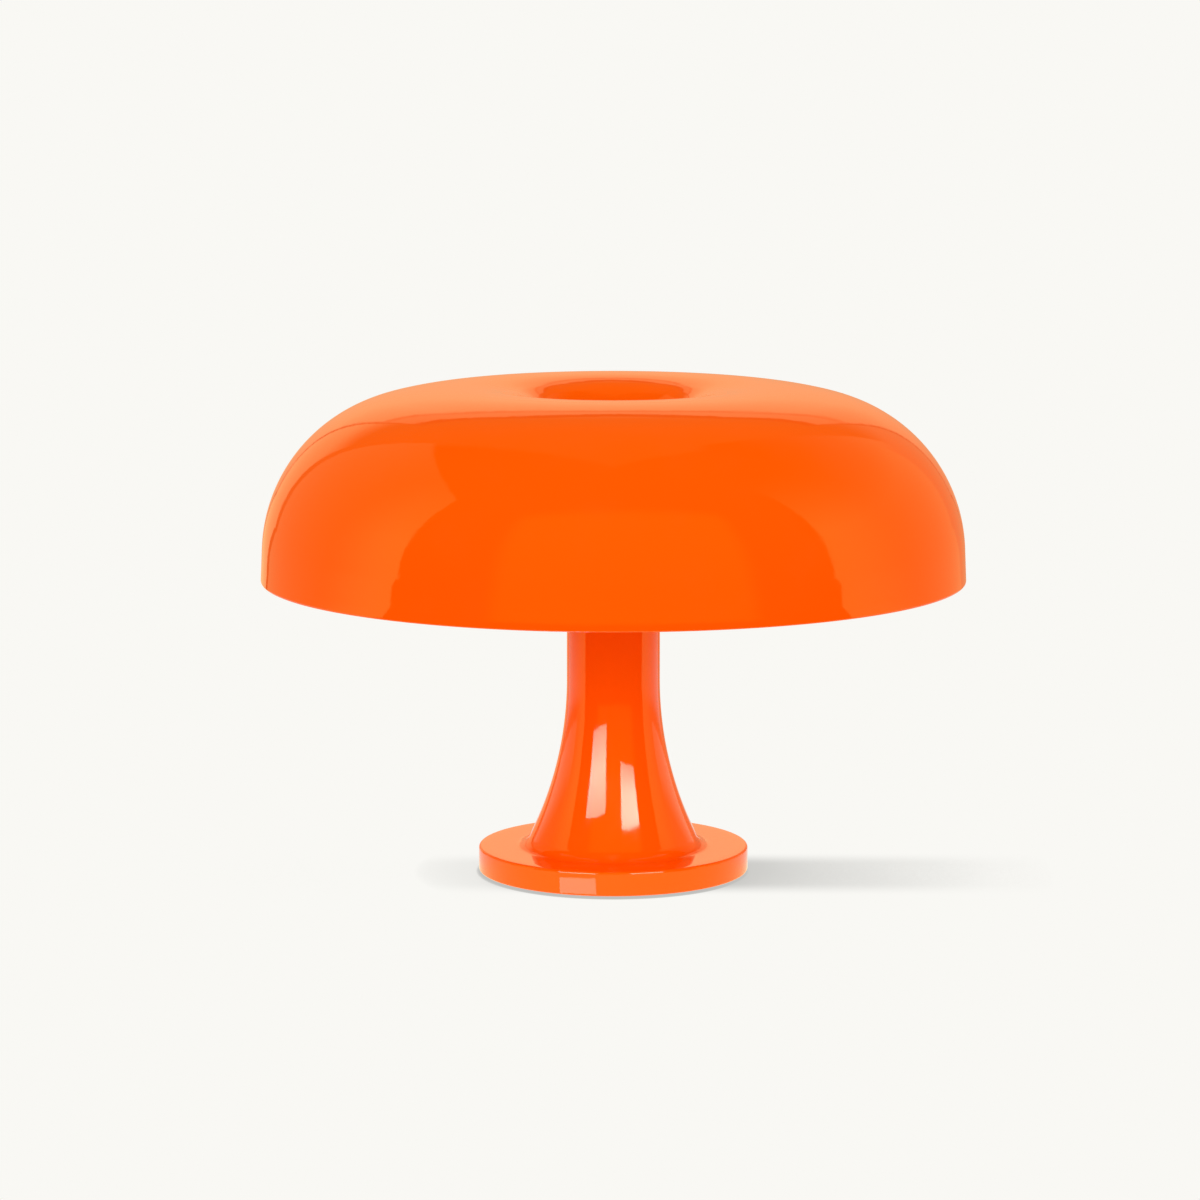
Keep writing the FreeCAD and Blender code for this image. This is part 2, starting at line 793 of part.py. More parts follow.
def make_shade():
    outside = shade_outside()
    inside = inset(outside, shade_wall)
    rim_inner = shade_diameter / 2 - shade_wall / math.cos(math.radians(side_draft))
    inside[0] = (rim_inner, rim_level, rim_rounding)
    return turned(outside + inside[::-1])


def make_lock_knob():
    radius = knob_diameter / 2
    knob_end = knob_bottom + knob_height
    bore = insert_diameter / 2 + thread_clearance
    knob = turned([
        (bore, knob_bottom),
        (radius, knob_bottom, knob_rounding / 2),
        (radius, knob_end, knob_rounding),
        (0.0, knob_end),
        (0.0, knob_roof),
        (bore, knob_roof),
    ])
    flute = Part.makeCylinder(knob_flute_radius, knob_height, at(radius + knob_flute_radius - knob_flute_depth, knob_bottom))
    for i in range(knob_flutes):
        knob = knob.cut(spun(flute, 360.0 * i / knob_flutes))
    return knob


def make_holder_leads():
    """Supply leads and jumpers. Neutral runs below the holder axis and live above it."""
    outward = polar(1.0, lead_angle)
    across = polar(1.0, lead_angle + 90)
    inner = holder_rear - port_approach
    port_end = holder_rear + port_depth - lead_clearance
    pole_level = plate_top + pole_height
    front = -block_depth / 2
    turn_level = pole_level + block_depth
    gather_level = turn_level + 2 * block_depth
    half_jumper = [(port_end, port_offset), (inner, port_offset), (inner, jumper_reach)]
    next_holder = 360.0 / holder_count
    bush_bend = {4: lead_run_level - bush_top - lead_clearance}
    for name, side in (("neutral", 1), ("live", -1)):
        level = holder_axis_level - side * port_height
        shift = across * (side * lead_spacing / 2)
        stand = outward * bush_circle_radius + shift
        loop = outward * lead_loop_radius + shift
        x = side * pole_offset
        route = [
            Vector(x, front + pole_sleeve_setback + lead_diameter, pole_level),
            Vector(x, 2 * front, pole_level),
            Vector(x, 2 * front, turn_level),
            stand + at(0, gather_level),
            stand + at(0, lead_run_level),
            loop + at(0, lead_run_level),
            loop + at(0, level),
            Vector(inner, -jumper_reach, level),
            Vector(inner, -port_offset, level),
            Vector(port_end, -port_offset, level),
        ]
        save(lead(route, bush_bend), "supply_lead_" + name)
        jumper = [Vector(u, v, level) for u, v in half_jumper]
        jumper += [turned_point(Vector(u, -v, level), next_holder) for u, v in half_jumper[::-1]]
        link = lead(jumper, {})
        save([spun(link, angle) for angle in holder_angles[:-1]], "jumper_leads_" + name)


os.makedirs("parts", exist_ok=True)

save(make_base_stem(), "base_stem")
save(make_base_plate(), "base_plate")
save(make_base_screws(), "base_screws")
save(make_foot_pads(), "foot_pads")
save(make_ballast_ring(), "ballast_ring")
save(make_cord_gland(), "cord_gland")

save(make_terminal_block(), "terminal_block")
save(make_terminal_sleeves(), "terminal_sleeves")
save(make_terminal_screws(), "terminal_screws")
save(make_terminal_fixing_screw(), "terminal_fixing_screw")

save(make_stem_nipple(), "stem_nipple")
lower_washer_bottom = deck_bottom - nipple_washer_thickness
save([make_nut(lower_washer_bottom - nut_thickness), make_nut(upper_washer_top)], "nipple_nuts")
washer_levels = (lower_washer_bottom, bracket_top)
save(
    [tube(nipple_washer_diameter, 2 * nipple_hole_radius, z, z + nipple_washer_thickness) for z in washer_levels],
    "nipple_washers",
)
save(tube(spacer_diameter, 2 * nipple_hole_radius, upper_nut_top, spacer_top), "spacer_sleeve")
save(tube(seat_diameter, 2 * nipple_hole_radius, spacer_top, seat_top), "shade_seat")
save(make_socket_bracket(), "socket_bracket")
save(make_wire_bush(), "wire_bush")

holder_pieces = {
    "lamp_holder": make_lamp_holder(),
    "holder_sleeve": make_holder_sleeve(),
    "holder_contact": make_holder_contact(),
    "bulb_contact": make_bulb_contact(),
    "bulb_insulator": make_bulb_insulator(),
    "bulb_cap": make_bulb_cap(),
    "bulb_glass": make_bulb_glass(),
}
for node, piece in holder_pieces.items():
    for i, angle in enumerate(holder_angles):
        save(on_holder(piece, angle), node + "_" + str(i + 1))
holder_screw = make_holder_screw()
save([on_holder(holder_screw, angle) for angle in holder_angles], "holder_screws")
make_holder_leads()

save(make_shade(), "shade")
save(tube(shade_washer_diameter, 2 * nipple_hole_radius, well_floor, knob_bottom), "shade_washer")
save(make_lock_knob(), "lock_knob")
save(tube(insert_diameter, 2 * nipple_fit_radius, knob_bottom, knob_roof - thread_clearance), "knob_insert")
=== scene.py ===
import bmesh
import bpy
import math
from mathutils import Matrix, Vector


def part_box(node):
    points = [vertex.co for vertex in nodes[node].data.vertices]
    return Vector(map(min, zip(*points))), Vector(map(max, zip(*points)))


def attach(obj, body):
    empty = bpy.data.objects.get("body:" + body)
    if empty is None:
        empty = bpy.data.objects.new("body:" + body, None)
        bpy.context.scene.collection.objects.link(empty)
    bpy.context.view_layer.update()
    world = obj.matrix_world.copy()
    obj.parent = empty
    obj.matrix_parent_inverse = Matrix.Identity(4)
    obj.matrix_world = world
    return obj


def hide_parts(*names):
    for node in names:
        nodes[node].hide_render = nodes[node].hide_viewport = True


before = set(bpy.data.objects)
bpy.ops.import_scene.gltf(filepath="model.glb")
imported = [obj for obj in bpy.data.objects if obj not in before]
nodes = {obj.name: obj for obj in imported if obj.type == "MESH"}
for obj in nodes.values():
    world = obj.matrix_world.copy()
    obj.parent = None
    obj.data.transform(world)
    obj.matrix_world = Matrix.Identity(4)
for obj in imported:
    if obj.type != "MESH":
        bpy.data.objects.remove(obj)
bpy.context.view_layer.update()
scene = bpy.context.scene
scene.view_settings.view_transform = "Standard"

MM = 0.001

# Shade, in millimetres and degrees, as in the part's source
RIM_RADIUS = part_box("shade")[1].x / MM
RIM_LEVEL = 135.5
RIM_ROUNDING = 0.9
SIDE_DRAFT = 2.5
SHOULDER_RADIUS = 73.5
BROW_ANGLE = 14.1
BROW_RADIUS = 151.6
CROWN_OUTER = 67.4
CROWN_INNER = 66.6
CROWN_LEVEL = 223.0
SHADE_WALL = 2.6
WELL_RADIUS = 30.8
WELL_DRAFT = 3.5
WELL_FLOOR = 153.5
WELL_FLOOR_ROUNDING = 2.5

# From the crown down to the well, with a bend before the lip that the part's source doesn't have
ROLL_RADIUS = 96.0
ROLL_ANGLE = 13.0
BEND_REACH = 36.9
BEND_RADIUS = 24.0
BEND_ANGLE = 50.0
LIP_RADIUS = 4.0

# Foot and stem, in millimetres and degrees
FOOT_RADIUS = 61.7
FOOT_BOTTOM = 1.0
FOOT_TOP = 12.2
FOOT_TOP_ROUNDING = 1.2
FOOT_BOTTOM_ROUNDING = 1.0
FOOT_FILLET = 7.5
FLARE_REACH = 40.3
FLARE_ANGLE = 25.0
FLARE_RADIUS = 162.0
STEM_RADIUS = 21.2
DECK_TOP = 136.9
DECK_ROUNDING = 1.5
BODY_WALL = 3.0
NIPPLE_HOLE = 5.3
GLAND_HOLE = 3.45
GLAND_LEVEL = 6.6
GLAND_DRILL = (55.0, 70.0)
BUSH_HOLE = 3.15
BUSH_REACH = 13.225
BUSH_DRILL = (130.0, 140.0)

# Knob, nipple and bulb caps, in millimetres; a cap's levels count from its holder's rear face
KNOB_BORE = 7.05
KNOB_RADIUS = 14.5
KNOB_BOTTOM = 154.5
KNOB_END = 168.5
KNOB_ROOF = 165.9
DIMPLE_MOUTH = 9.5
DIMPLE_FLOOR = 8.6
DIMPLE_DEPTH = 0.6
FLUTES = 10.0
FLUTE_DEPTH = 1.1
FLUTE_ROOT = 11.5
THREAD_DEPTH = 0.5
NIPPLE_BORE = 3.5
NIPPLE_RADIUS = 5.0
NIPPLE_BOTTOM = 125.9
NIPPLE_TOP = 165.6
NIPPLE_PITCH = 1.0
HOLDER_REAR = 40.0
HOLDER_LEVEL = 160.0
CAP_NECK = 6.45
CAP_RADIUS = 6.95
CAP_SKIRT = 8.7
CAP_SKIRT_BORE = 7.75
CAP_BORE = 5.65
CAP_REAR = 13.9
CAP_FLOOR = 14.7
CAP_THREAD_START = 14.9
CAP_THREAD_END = 29.4
CAP_THREAD_ROOT = 6.4
CAP_PITCH = 2.822
CAP_WAIST = 30.2
CAP_INNER_WAIST = 29.9
CAP_SKIRT_START = 32.4
CAP_FRONT = 34.9

# Making of the turned meshes: the circle a section is swept along, welding, creases, drilled holes
RING = 10.0
WELD_REACH = 0.002
CREASE_ANGLE = 38.0
HOLE_STEPS = 48

# Camera, in metres, and its tilt down in degrees
CAMERA_SPOT = (-0.0061, -1.902, 0.410)
CAMERA_TILT = 8.51
CAMERA_LENS = 126.71
CAMERA_SENSOR = 36.0
CAMERA_REACH = 50.0

# The photograph's pale ground, and how the plastic reads in plain light
GROUND = (0.947, 0.939, 0.905, 1.0)
ORANGE = (0.97, 0.104, 0.0003, 1.0)
GLOSS_TINT = (1.0, 1.0, 0.4, 1.0)

# Colours of the light that surfaces give back in their gloss, and of the even fill
BLACK = (0.0, 0.0, 0.0, 1.0)
ROOM = (0.35, 0.010, 0.004, 1.0)
FRONT_WALL = (0.85, 0.42, 0.03, 1.0)
BACK_WALL = (0.55, 0.17, 0.05, 1.0)
FLOOR_FRONT = (1.25, 1.25, 0.72, 1.0)
FLOOR_BACK = (0.95, 0.95, 0.85, 1.0)
FOOT_STRIP = (4.6, 4.6, 7.8, 1.0)
GLINT_TINT = (0.48, 0.48, 1.0)
EDGE_TINT = (1.0, 1.0, 1.0)
TOP_TINT = (1.0, 1.0, 0.5)
STEM_TINT = (1.0, 0.86, 0.86)
FILL = (1.0, 1.0, 1.0, 1.0)
FLOOR_FILL = (1.05, 0.66, 0.62, 1.0)
WARM_GAIN = 1.2
WARM_BASE = 0.35
WHITE = (1.0, 1.0, 1.0)

# The floor: half its side in metres, and the shares of light that its painted shadows take
FLOOR_HALF = 9
SHADOW_GAIN = -6.0
SHADOW_RIGHT = 0.36
SHADOW_LEFT = 0.12
SHADOW_CONTACT = 0.45
SHADOW_FORWARD = 0.008
SHADOW_BAND = (0.047, 0.020)

# The bright strip of floor in the gloss of the foot's side, in metres and degrees
STRIP_FORWARD = 0.0346
STRIP_TURN = -31.5
STRIP_HALF_TURN = 15.5
STRIP_REACH = 0.060
STRIP_HALF_REACH = 0.026

# Lamps: how far off they stand and the height that glints face, in metres, and an even strength
SUN_REACH = 3
GLINT_REACH = 1.6
GLINT_HEIGHT = 0.04
EVEN = (0.0, 1.0, 1.0, 1.0)


# Node helpers

def place(tree, kind, feeds=None, **settings):
    """One node with its settings; feeds maps a socket's name or index to a value or an output."""
    node = tree.nodes.new(kind)
    for name, value in settings.items():
        setattr(node, name, value)
    for key, value in (feeds or {}).items():
        socket = node.inputs[key]
        if isinstance(value, bpy.types.NodeSocket):
            tree.links.new(value, socket)
        else:
            socket.default_value = value
    return node


def maths(tree, operation, a, b=None, c=None):
    feeds = {i: v for i, v in enumerate((a, b, c)) if v is not None}
    return place(tree, "ShaderNodeMath", feeds, operation=operation).outputs[0]


def eased(tree, value, low, high):
    """From 0 at low to 1 at high, with soft ends."""
    feeds = {"Value": value, "From Min": low, "From Max": high}
    return place(tree, "ShaderNodeMapRange", feeds, interpolation_type="SMOOTHSTEP").outputs[0]


def eased_turn(tree, turn, low, high):
    return eased(tree, turn, math.radians(low), math.radians(high))


def spread(tree, value, low, high, start, end):
    """From start at low to end at high, in a straight line."""
    feeds = {"Value": value, "From Min": low, "From Max": high, "To Min": start, "To Max": end}
    return place(tree, "ShaderNodeMapRange", feeds).outputs[0]


def noise(tree, where, scale, detail, roughness=0.5):
    feeds = {"Vector": where, "Scale": scale, "Detail": detail, "Roughness": roughness}
    return place(tree, "ShaderNodeTexNoise", feeds).outputs["Fac"]


def vector(tree, operation, *feeds):
    return place(tree, "ShaderNodeVectorMath", dict(enumerate(feeds)), operation=operation)


def blended(tree, factor, a, b, way="MIX"):
    node = place(tree, "ShaderNodeMix", data_type="RGBA", blend_type=way)
    for identifier, value in (("Factor_Float", factor), ("A_Color", a), ("B_Color", b)):
        socket = next(s for s in node.inputs if s.identifier == identifier)
        if isinstance(value, bpy.types.NodeSocket):
            tree.links.new(value, socket)
        else:
            socket.default_value = value
    return next(s for s in node.outputs if s.identifier == "Result_Color")


# Shared surface effects

def new_effect(name, inputs, outputs):
    group = bpy.data.node_groups.new(name, "ShaderNodeTree")
    for label, value in inputs:
        socket = group.interface.new_socket(label, in_out="INPUT", socket_type="NodeSocketFloat")
        socket.default_value = value
    for label in outputs:
        group.interface.new_socket(label, in_out="OUTPUT", socket_type="NodeSocketFloat")
    return group, group.nodes.new("NodeGroupInput"), group.nodes.new("NodeGroupOutput")


def make_moulded_skin():
    """Slow tone drift, the mould's faint ripple and a haze of fine handling marks."""
    group, given, made = new_effect(
        "moulded_skin",
        [("Drift Scale", 9.0), ("Ripple Scale", 190.0), ("Haze Scale", 46.0)],
        ["Drift", "Ripple", "Haze"],
    )
    where = group.nodes.new("ShaderNodeTexCoord").outputs["Object"]
    drift = noise(group, where, given.outputs["Drift Scale"], 3.0)
    ripple = noise(group, where, given.outputs["Ripple Scale"], 2.0)
    haze = noise(group, where, given.outputs["Haze Scale"], 6.0, 0.65)
    group.links.new(spread(group, drift, 0.3, 0.7, 0.0, 1.0), made.inputs["Drift"])
    group.links.new(ripple, made.inputs["Ripple"])
    group.links.new(eased(group, haze, 0.42, 0.72), made.inputs["Haze"])
    return group


def make_hairlines():
    """Fine scratches in two slanting directions, as thin stretched noise."""
    group, given, made = new_effect("hairlines", [("Scale", 60.0), ("Cover", 0.5)], ["Mask"])
    where = group.nodes.new("ShaderNodeTexCoord").outputs["Object"]
    low = maths(group, "SUBTRACT", 0.86, maths(group, "MULTIPLY", given.outputs["Cover"], 0.2))
    masks = []
    for turn, stretch in (((0.4, 0.9, 0.3), (1.0, 26.0, 9.0)), ((1.1, -0.5, 1.9), (18.0, 1.0, 12.0))):
        slant = place(group, "ShaderNodeMapping", {"Vector": where, "Rotation": turn, "Scale": stretch})
        lines = noise(group, slant.outputs[0], given.outputs["Scale"], 1.0)
        masks.append(eased(group, lines, low, 0.9))
    group.links.new(maths(group, "MAXIMUM", *masks), made.inputs["Mask"])
    return group


def make_grains():
    """Fine and coarse grain for cast, rubber, fibre and metal skins."""
    group, given, made = new_effect(
        "grains", [("Fine Scale", 900.0), ("Coarse Scale", 120.0)], ["Fine", "Coarse", "Pits"]
    )
    where = group.nodes.new("ShaderNodeTexCoord").outputs["Object"]
    fine = noise(group, where, given.outputs["Fine Scale"], 2.0)
    coarse = noise(group, where, given.outputs["Coarse Scale"], 5.0, 0.6)
    pits = place(group, "ShaderNodeTexVoronoi", {"Vector": where, "Scale": given.outputs["Fine Scale"]})
    group.links.new(fine, made.inputs["Fine"])
    group.links.new(coarse, made.inputs["Coarse"])
    group.links.new(eased(group, pits.outputs["Distance"], 0.0, 0.35), made.inputs["Pits"])
    return group


def make_lathe_marks():
    """Rings left by turning, centred on the lamp's axis, and a slow stain over them."""
    group, given, made = new_effect(
        "lathe_marks", [("Ring Scale", 260.0), ("Stain Scale", 40.0)], ["Rings", "Stain"]
    )
    where = group.nodes.new("ShaderNodeTexCoord").outputs["Object"]
    feeds = {"Vector": where, "Scale": given.outputs["Ring Scale"]}
    feeds.update({"Distortion": 1.2, "Detail": 2.0, "Detail Scale": 3.0})
    rings = place(group, "ShaderNodeTexWave", feeds, wave_type="RINGS", rings_direction="Z")
    stain = noise(group, where, given.outputs["Stain Scale"], 5.0)
    group.links.new(rings.outputs["Fac"], made.inputs["Rings"])
    group.links.new(stain, made.inputs["Stain"])
    return group


moulded_skin = make_moulded_skin()
hairlines = make_hairlines()
grains = make_grains()
lathe_marks = make_lathe_marks()


def effect(tree, group, **values):
    node = tree.nodes.new("ShaderNodeGroup")
    node.node_tree = group
    for name, value in values.items():
        node.inputs[name.replace("_", " ")].default_value = value
    return node.outputs


# Materials

def empty_material(name):
    finish = bpy.data.materials.new(name)
    finish.use_nodes = True
    finish.node_tree.nodes.clear()
    return finish, finish.node_tree


def new_finish(name, **plain):
    """A material with its Principled shader; plain sets the sockets that are the same all over."""
    finish, tree = empty_material(name)
    skin = tree.nodes.new("ShaderNodeBsdfPrincipled")
    out = tree.nodes.new("ShaderNodeOutputMaterial")
    tree.links.new(skin.outputs[0], out.inputs["Surface"])
    for label, value in plain.items():
        skin.inputs[label.replace("_", " ")].default_value = value
    return finish, tree, skin


def dress(tree, skin, tone, rough, height, depth, strength=1.0):
    """Gives a skin its colour, its roughness and its relief, the depth in millimetres."""
    feeds = {"Height": height, "Distance": depth * MM, "Strength": strength}
    bump = place(tree, "ShaderNodeBump", feeds)
    for label, feed in (("Base Color", tone), ("Roughness", rough), ("Normal", bump.outputs[0])):
        tree.links.new(feed, skin.inputs[label])


def shaded(colour, share):
    return (colour[0] * share, colour[1] * share, colour[2] * share, 1.0)


def make_glossy_plastic():
    """Glossy through-coloured plastic: slight pigment drift, mould ripple, hairline wear."""
    finish, tree, skin = new_finish("orange_plastic", IOR=1.5, Specular_Tint=GLOSS_TINT)
    mould = effect(tree, moulded_skin)
    lines = effect(tree, hairlines, Scale=34.0, Cover=0.35)
    tone = blended(tree, mould["Drift"], ORANGE, shaded(ORANGE, 0.985))
    line_wear = 1.6
    worn = maths(tree, "MAXIMUM", mould["Haze"], maths(tree, "MULTIPLY", lines["Mask"], line_wear))
    rough = spread(tree, worn, 0.0, line_wear, 0.04, 0.12)
    dress(tree, skin, tone, rough, mould["Ripple"], 0.02)
    return finish


def make_moulded(name, scales, tones, rough, depth, **plain):
    """Moulded or blown skins: drift between two tones, haze in the gloss, ripple in the relief."""
    finish, tree, skin = new_finish(name, **plain)
    drift_scale, ripple_scale, haze_scale = scales
    mould = effect(
        tree, moulded_skin, Drift_Scale=drift_scale, Ripple_Scale=ripple_scale, Haze_Scale=haze_scale
    )
    tone = blended(tree, mould["Drift"], *tones)
    dress(tree, skin, tone, spread(tree, mould["Haze"], 0.0, 1.0, *rough), mould["Ripple"], depth)
    return finish


def make_white_plastic():
    tones = ((0.83, 0.82, 0.78, 1), (0.76, 0.73, 0.66, 1))
    return make_moulded("white_plastic", (30.0, 420.0, 120.0), tones, (0.28, 0.46), depth=0.04, IOR=1.48)


def make_opal_glass():
    tones = ((0.90, 0.89, 0.86, 1), (0.86, 0.85, 0.80, 1))
    return make_moulded(
        "opal_glass", (22.0, 60.0, 90.0), tones, (0.08, 0.2), depth=0.05,
        IOR=1.5, Subsurface_Weight=0.25, Subsurface_Scale=4.0 * MM,
    )


def make_black_glass():
    tones = ((0.008, 0.008, 0.009, 1), (0.02, 0.017, 0.016, 1))
    return make_moulded("black_glass", (80.0, 500.0, 200.0), tones, (0.08, 0.25), depth=0.05, IOR=1.52)


def make_lead_insulation(name, colour):
    tones = (colour, shaded(colour, 0.72))
    return make_moulded(name, (60.0, 700.0, 260.0), tones, (0.34, 0.52), depth=0.06, IOR=1.5)


def make_plated_steel():
    finish, tree, skin = new_finish("plated_steel", Metallic=1.0)
    marks = effect(tree, lathe_marks, Ring_Scale=320.0, Stain_Scale=55.0)
    lines = effect(tree, hairlines, Scale=80.0, Cover=0.7)
    stained = eased(tree, marks["Stain"], 0.35, 0.7)
    tone = blended(tree, stained, (0.62, 0.63, 0.64, 1), (0.50, 0.49, 0.45, 1))
    rough = spread(tree, marks["Stain"], 0.3, 0.7, 0.22, 0.38)
    rough = maths(tree, "MULTIPLY_ADD", lines["Mask"], 0.15, rough)
    dress(tree, skin, tone, rough, maths(tree, "ADD", marks["Rings"], lines["Mask"]), 0.03, 0.35)
    return finish


def make_brass():
    finish, tree, skin = new_finish("brass", Metallic=1.0)
    marks = effect(tree, lathe_marks, Ring_Scale=420.0, Stain_Scale=90.0)
    stained = eased(tree, marks["Stain"], 0.4, 0.7)
    tone = blended(tree, stained, (0.78, 0.58, 0.27, 1), (0.46, 0.31, 0.13, 1))
    rough = spread(tree, marks["Stain"], 0.3, 0.7, 0.2, 0.42)
    dress(tree, skin, tone, rough, marks["Rings"], 0.02, 0.4)
    return finish


def make_cap_metal():
    finish, tree, skin = new_finish("cap_metal", Metallic=1.0)
    marks = effect(tree, lathe_marks, Ring_Scale=500.0, Stain_Scale=120.0)
    lines = effect(tree, hairlines, Scale=140.0, Cover=0.6)
    stained = eased(tree, marks["Stain"], 0.4, 0.75)
    tone = blended(tree, stained, (0.74, 0.73, 0.70, 1), (0.58, 0.55, 0.48, 1))
    rough = spread(tree, marks["Stain"], 0.3, 0.7, 0.18, 0.34)
    rough = maths(tree, "MULTIPLY_ADD", lines["Mask"], 0.2, rough)
    dress(tree, skin, tone, rough, lines["Mask"], 0.03, 0.4)
    return finish


def make_black_rubber():
    finish, tree, skin = new_finish("black_rubber", IOR=1.5)
    grain = effect(tree, grains, Fine_Scale=1400.0, Coarse_Scale=160.0)
    patch = eased(tree, grain["Coarse"], 0.4, 0.7)
    tone = blended(tree, patch, (0.012, 0.012, 0.013, 1), (0.035, 0.034, 0.033, 1))
    rough = spread(tree, grain["Coarse"], 0.3, 0.7, 0.6, 0.82)
    dress(tree, skin, tone, rough, grain["Fine"], 0.12, 0.6)
    return finish


def make_ballast_iron():
    finish, tree, skin = new_finish("ballast_iron", Metallic=0.7)
    grain = effect(tree, grains, Fine_Scale=700.0, Coarse_Scale=90.0)
    patch = eased(tree, grain["Coarse"], 0.35, 0.65)
    tone = blended(tree, patch, (0.09, 0.085, 0.08, 1), (0.17, 0.13, 0.10, 1))
    rough = spread(tree, grain["Pits"], 0.0, 1.0, 0.75, 0.55)
    dress(tree, skin, tone, rough, grain["Pits"], 0.3, 0.7)
    return finish


def make_fibre():
    finish, tree, skin = new_finish("fibre", IOR=1.45)
    grain = effect(tree, grains, Fine_Scale=1100.0, Coarse_Scale=210.0)
    lines = effect(tree, hairlines, Scale=160.0, Cover=1.0)
    patch = eased(tree, grain["Coarse"], 0.35, 0.65)
    tone = blended(tree, patch, (0.22, 0.06, 0.035, 1), (0.30, 0.10, 0.055, 1))
    tone = blended(tree, maths(tree, "MULTIPLY", lines["Mask"], 0.5), tone, (0.42, 0.2, 0.12, 1))
    rough = spread(tree, grain["Fine"], 0.3, 0.7, 0.6, 0.78)
    dress(tree, skin, tone, rough, maths(tree, "ADD", grain["Fine"], lines["Mask"]), 0.08, 0.6)
    return finish


finishes = {
    "orange_plastic": make_glossy_plastic(),
    "plated_steel": make_plated_steel(),
    "black_rubber": make_black_rubber(),
    "ballast_iron": make_ballast_iron(),
    "white_plastic": make_white_plastic(),
    "brass": make_brass(),
    "opal_glass": make_opal_glass(),
    "cap_metal": make_cap_metal(),
    "black_glass": make_black_glass(),
    "fibre": make_fibre(),
    "brown_insulation": make_lead_insulation("brown_insulation", (0.16, 0.065, 0.03, 1)),
    "blue_insulation": make_lead_insulation("blue_insulation", (0.05, 0.16, 0.42, 1)),
}


def finish_frame():
    for node in nodes.values():
        for holder in node.material_slots:
            holder.material = finishes[holder.material.name]


# Turned pieces

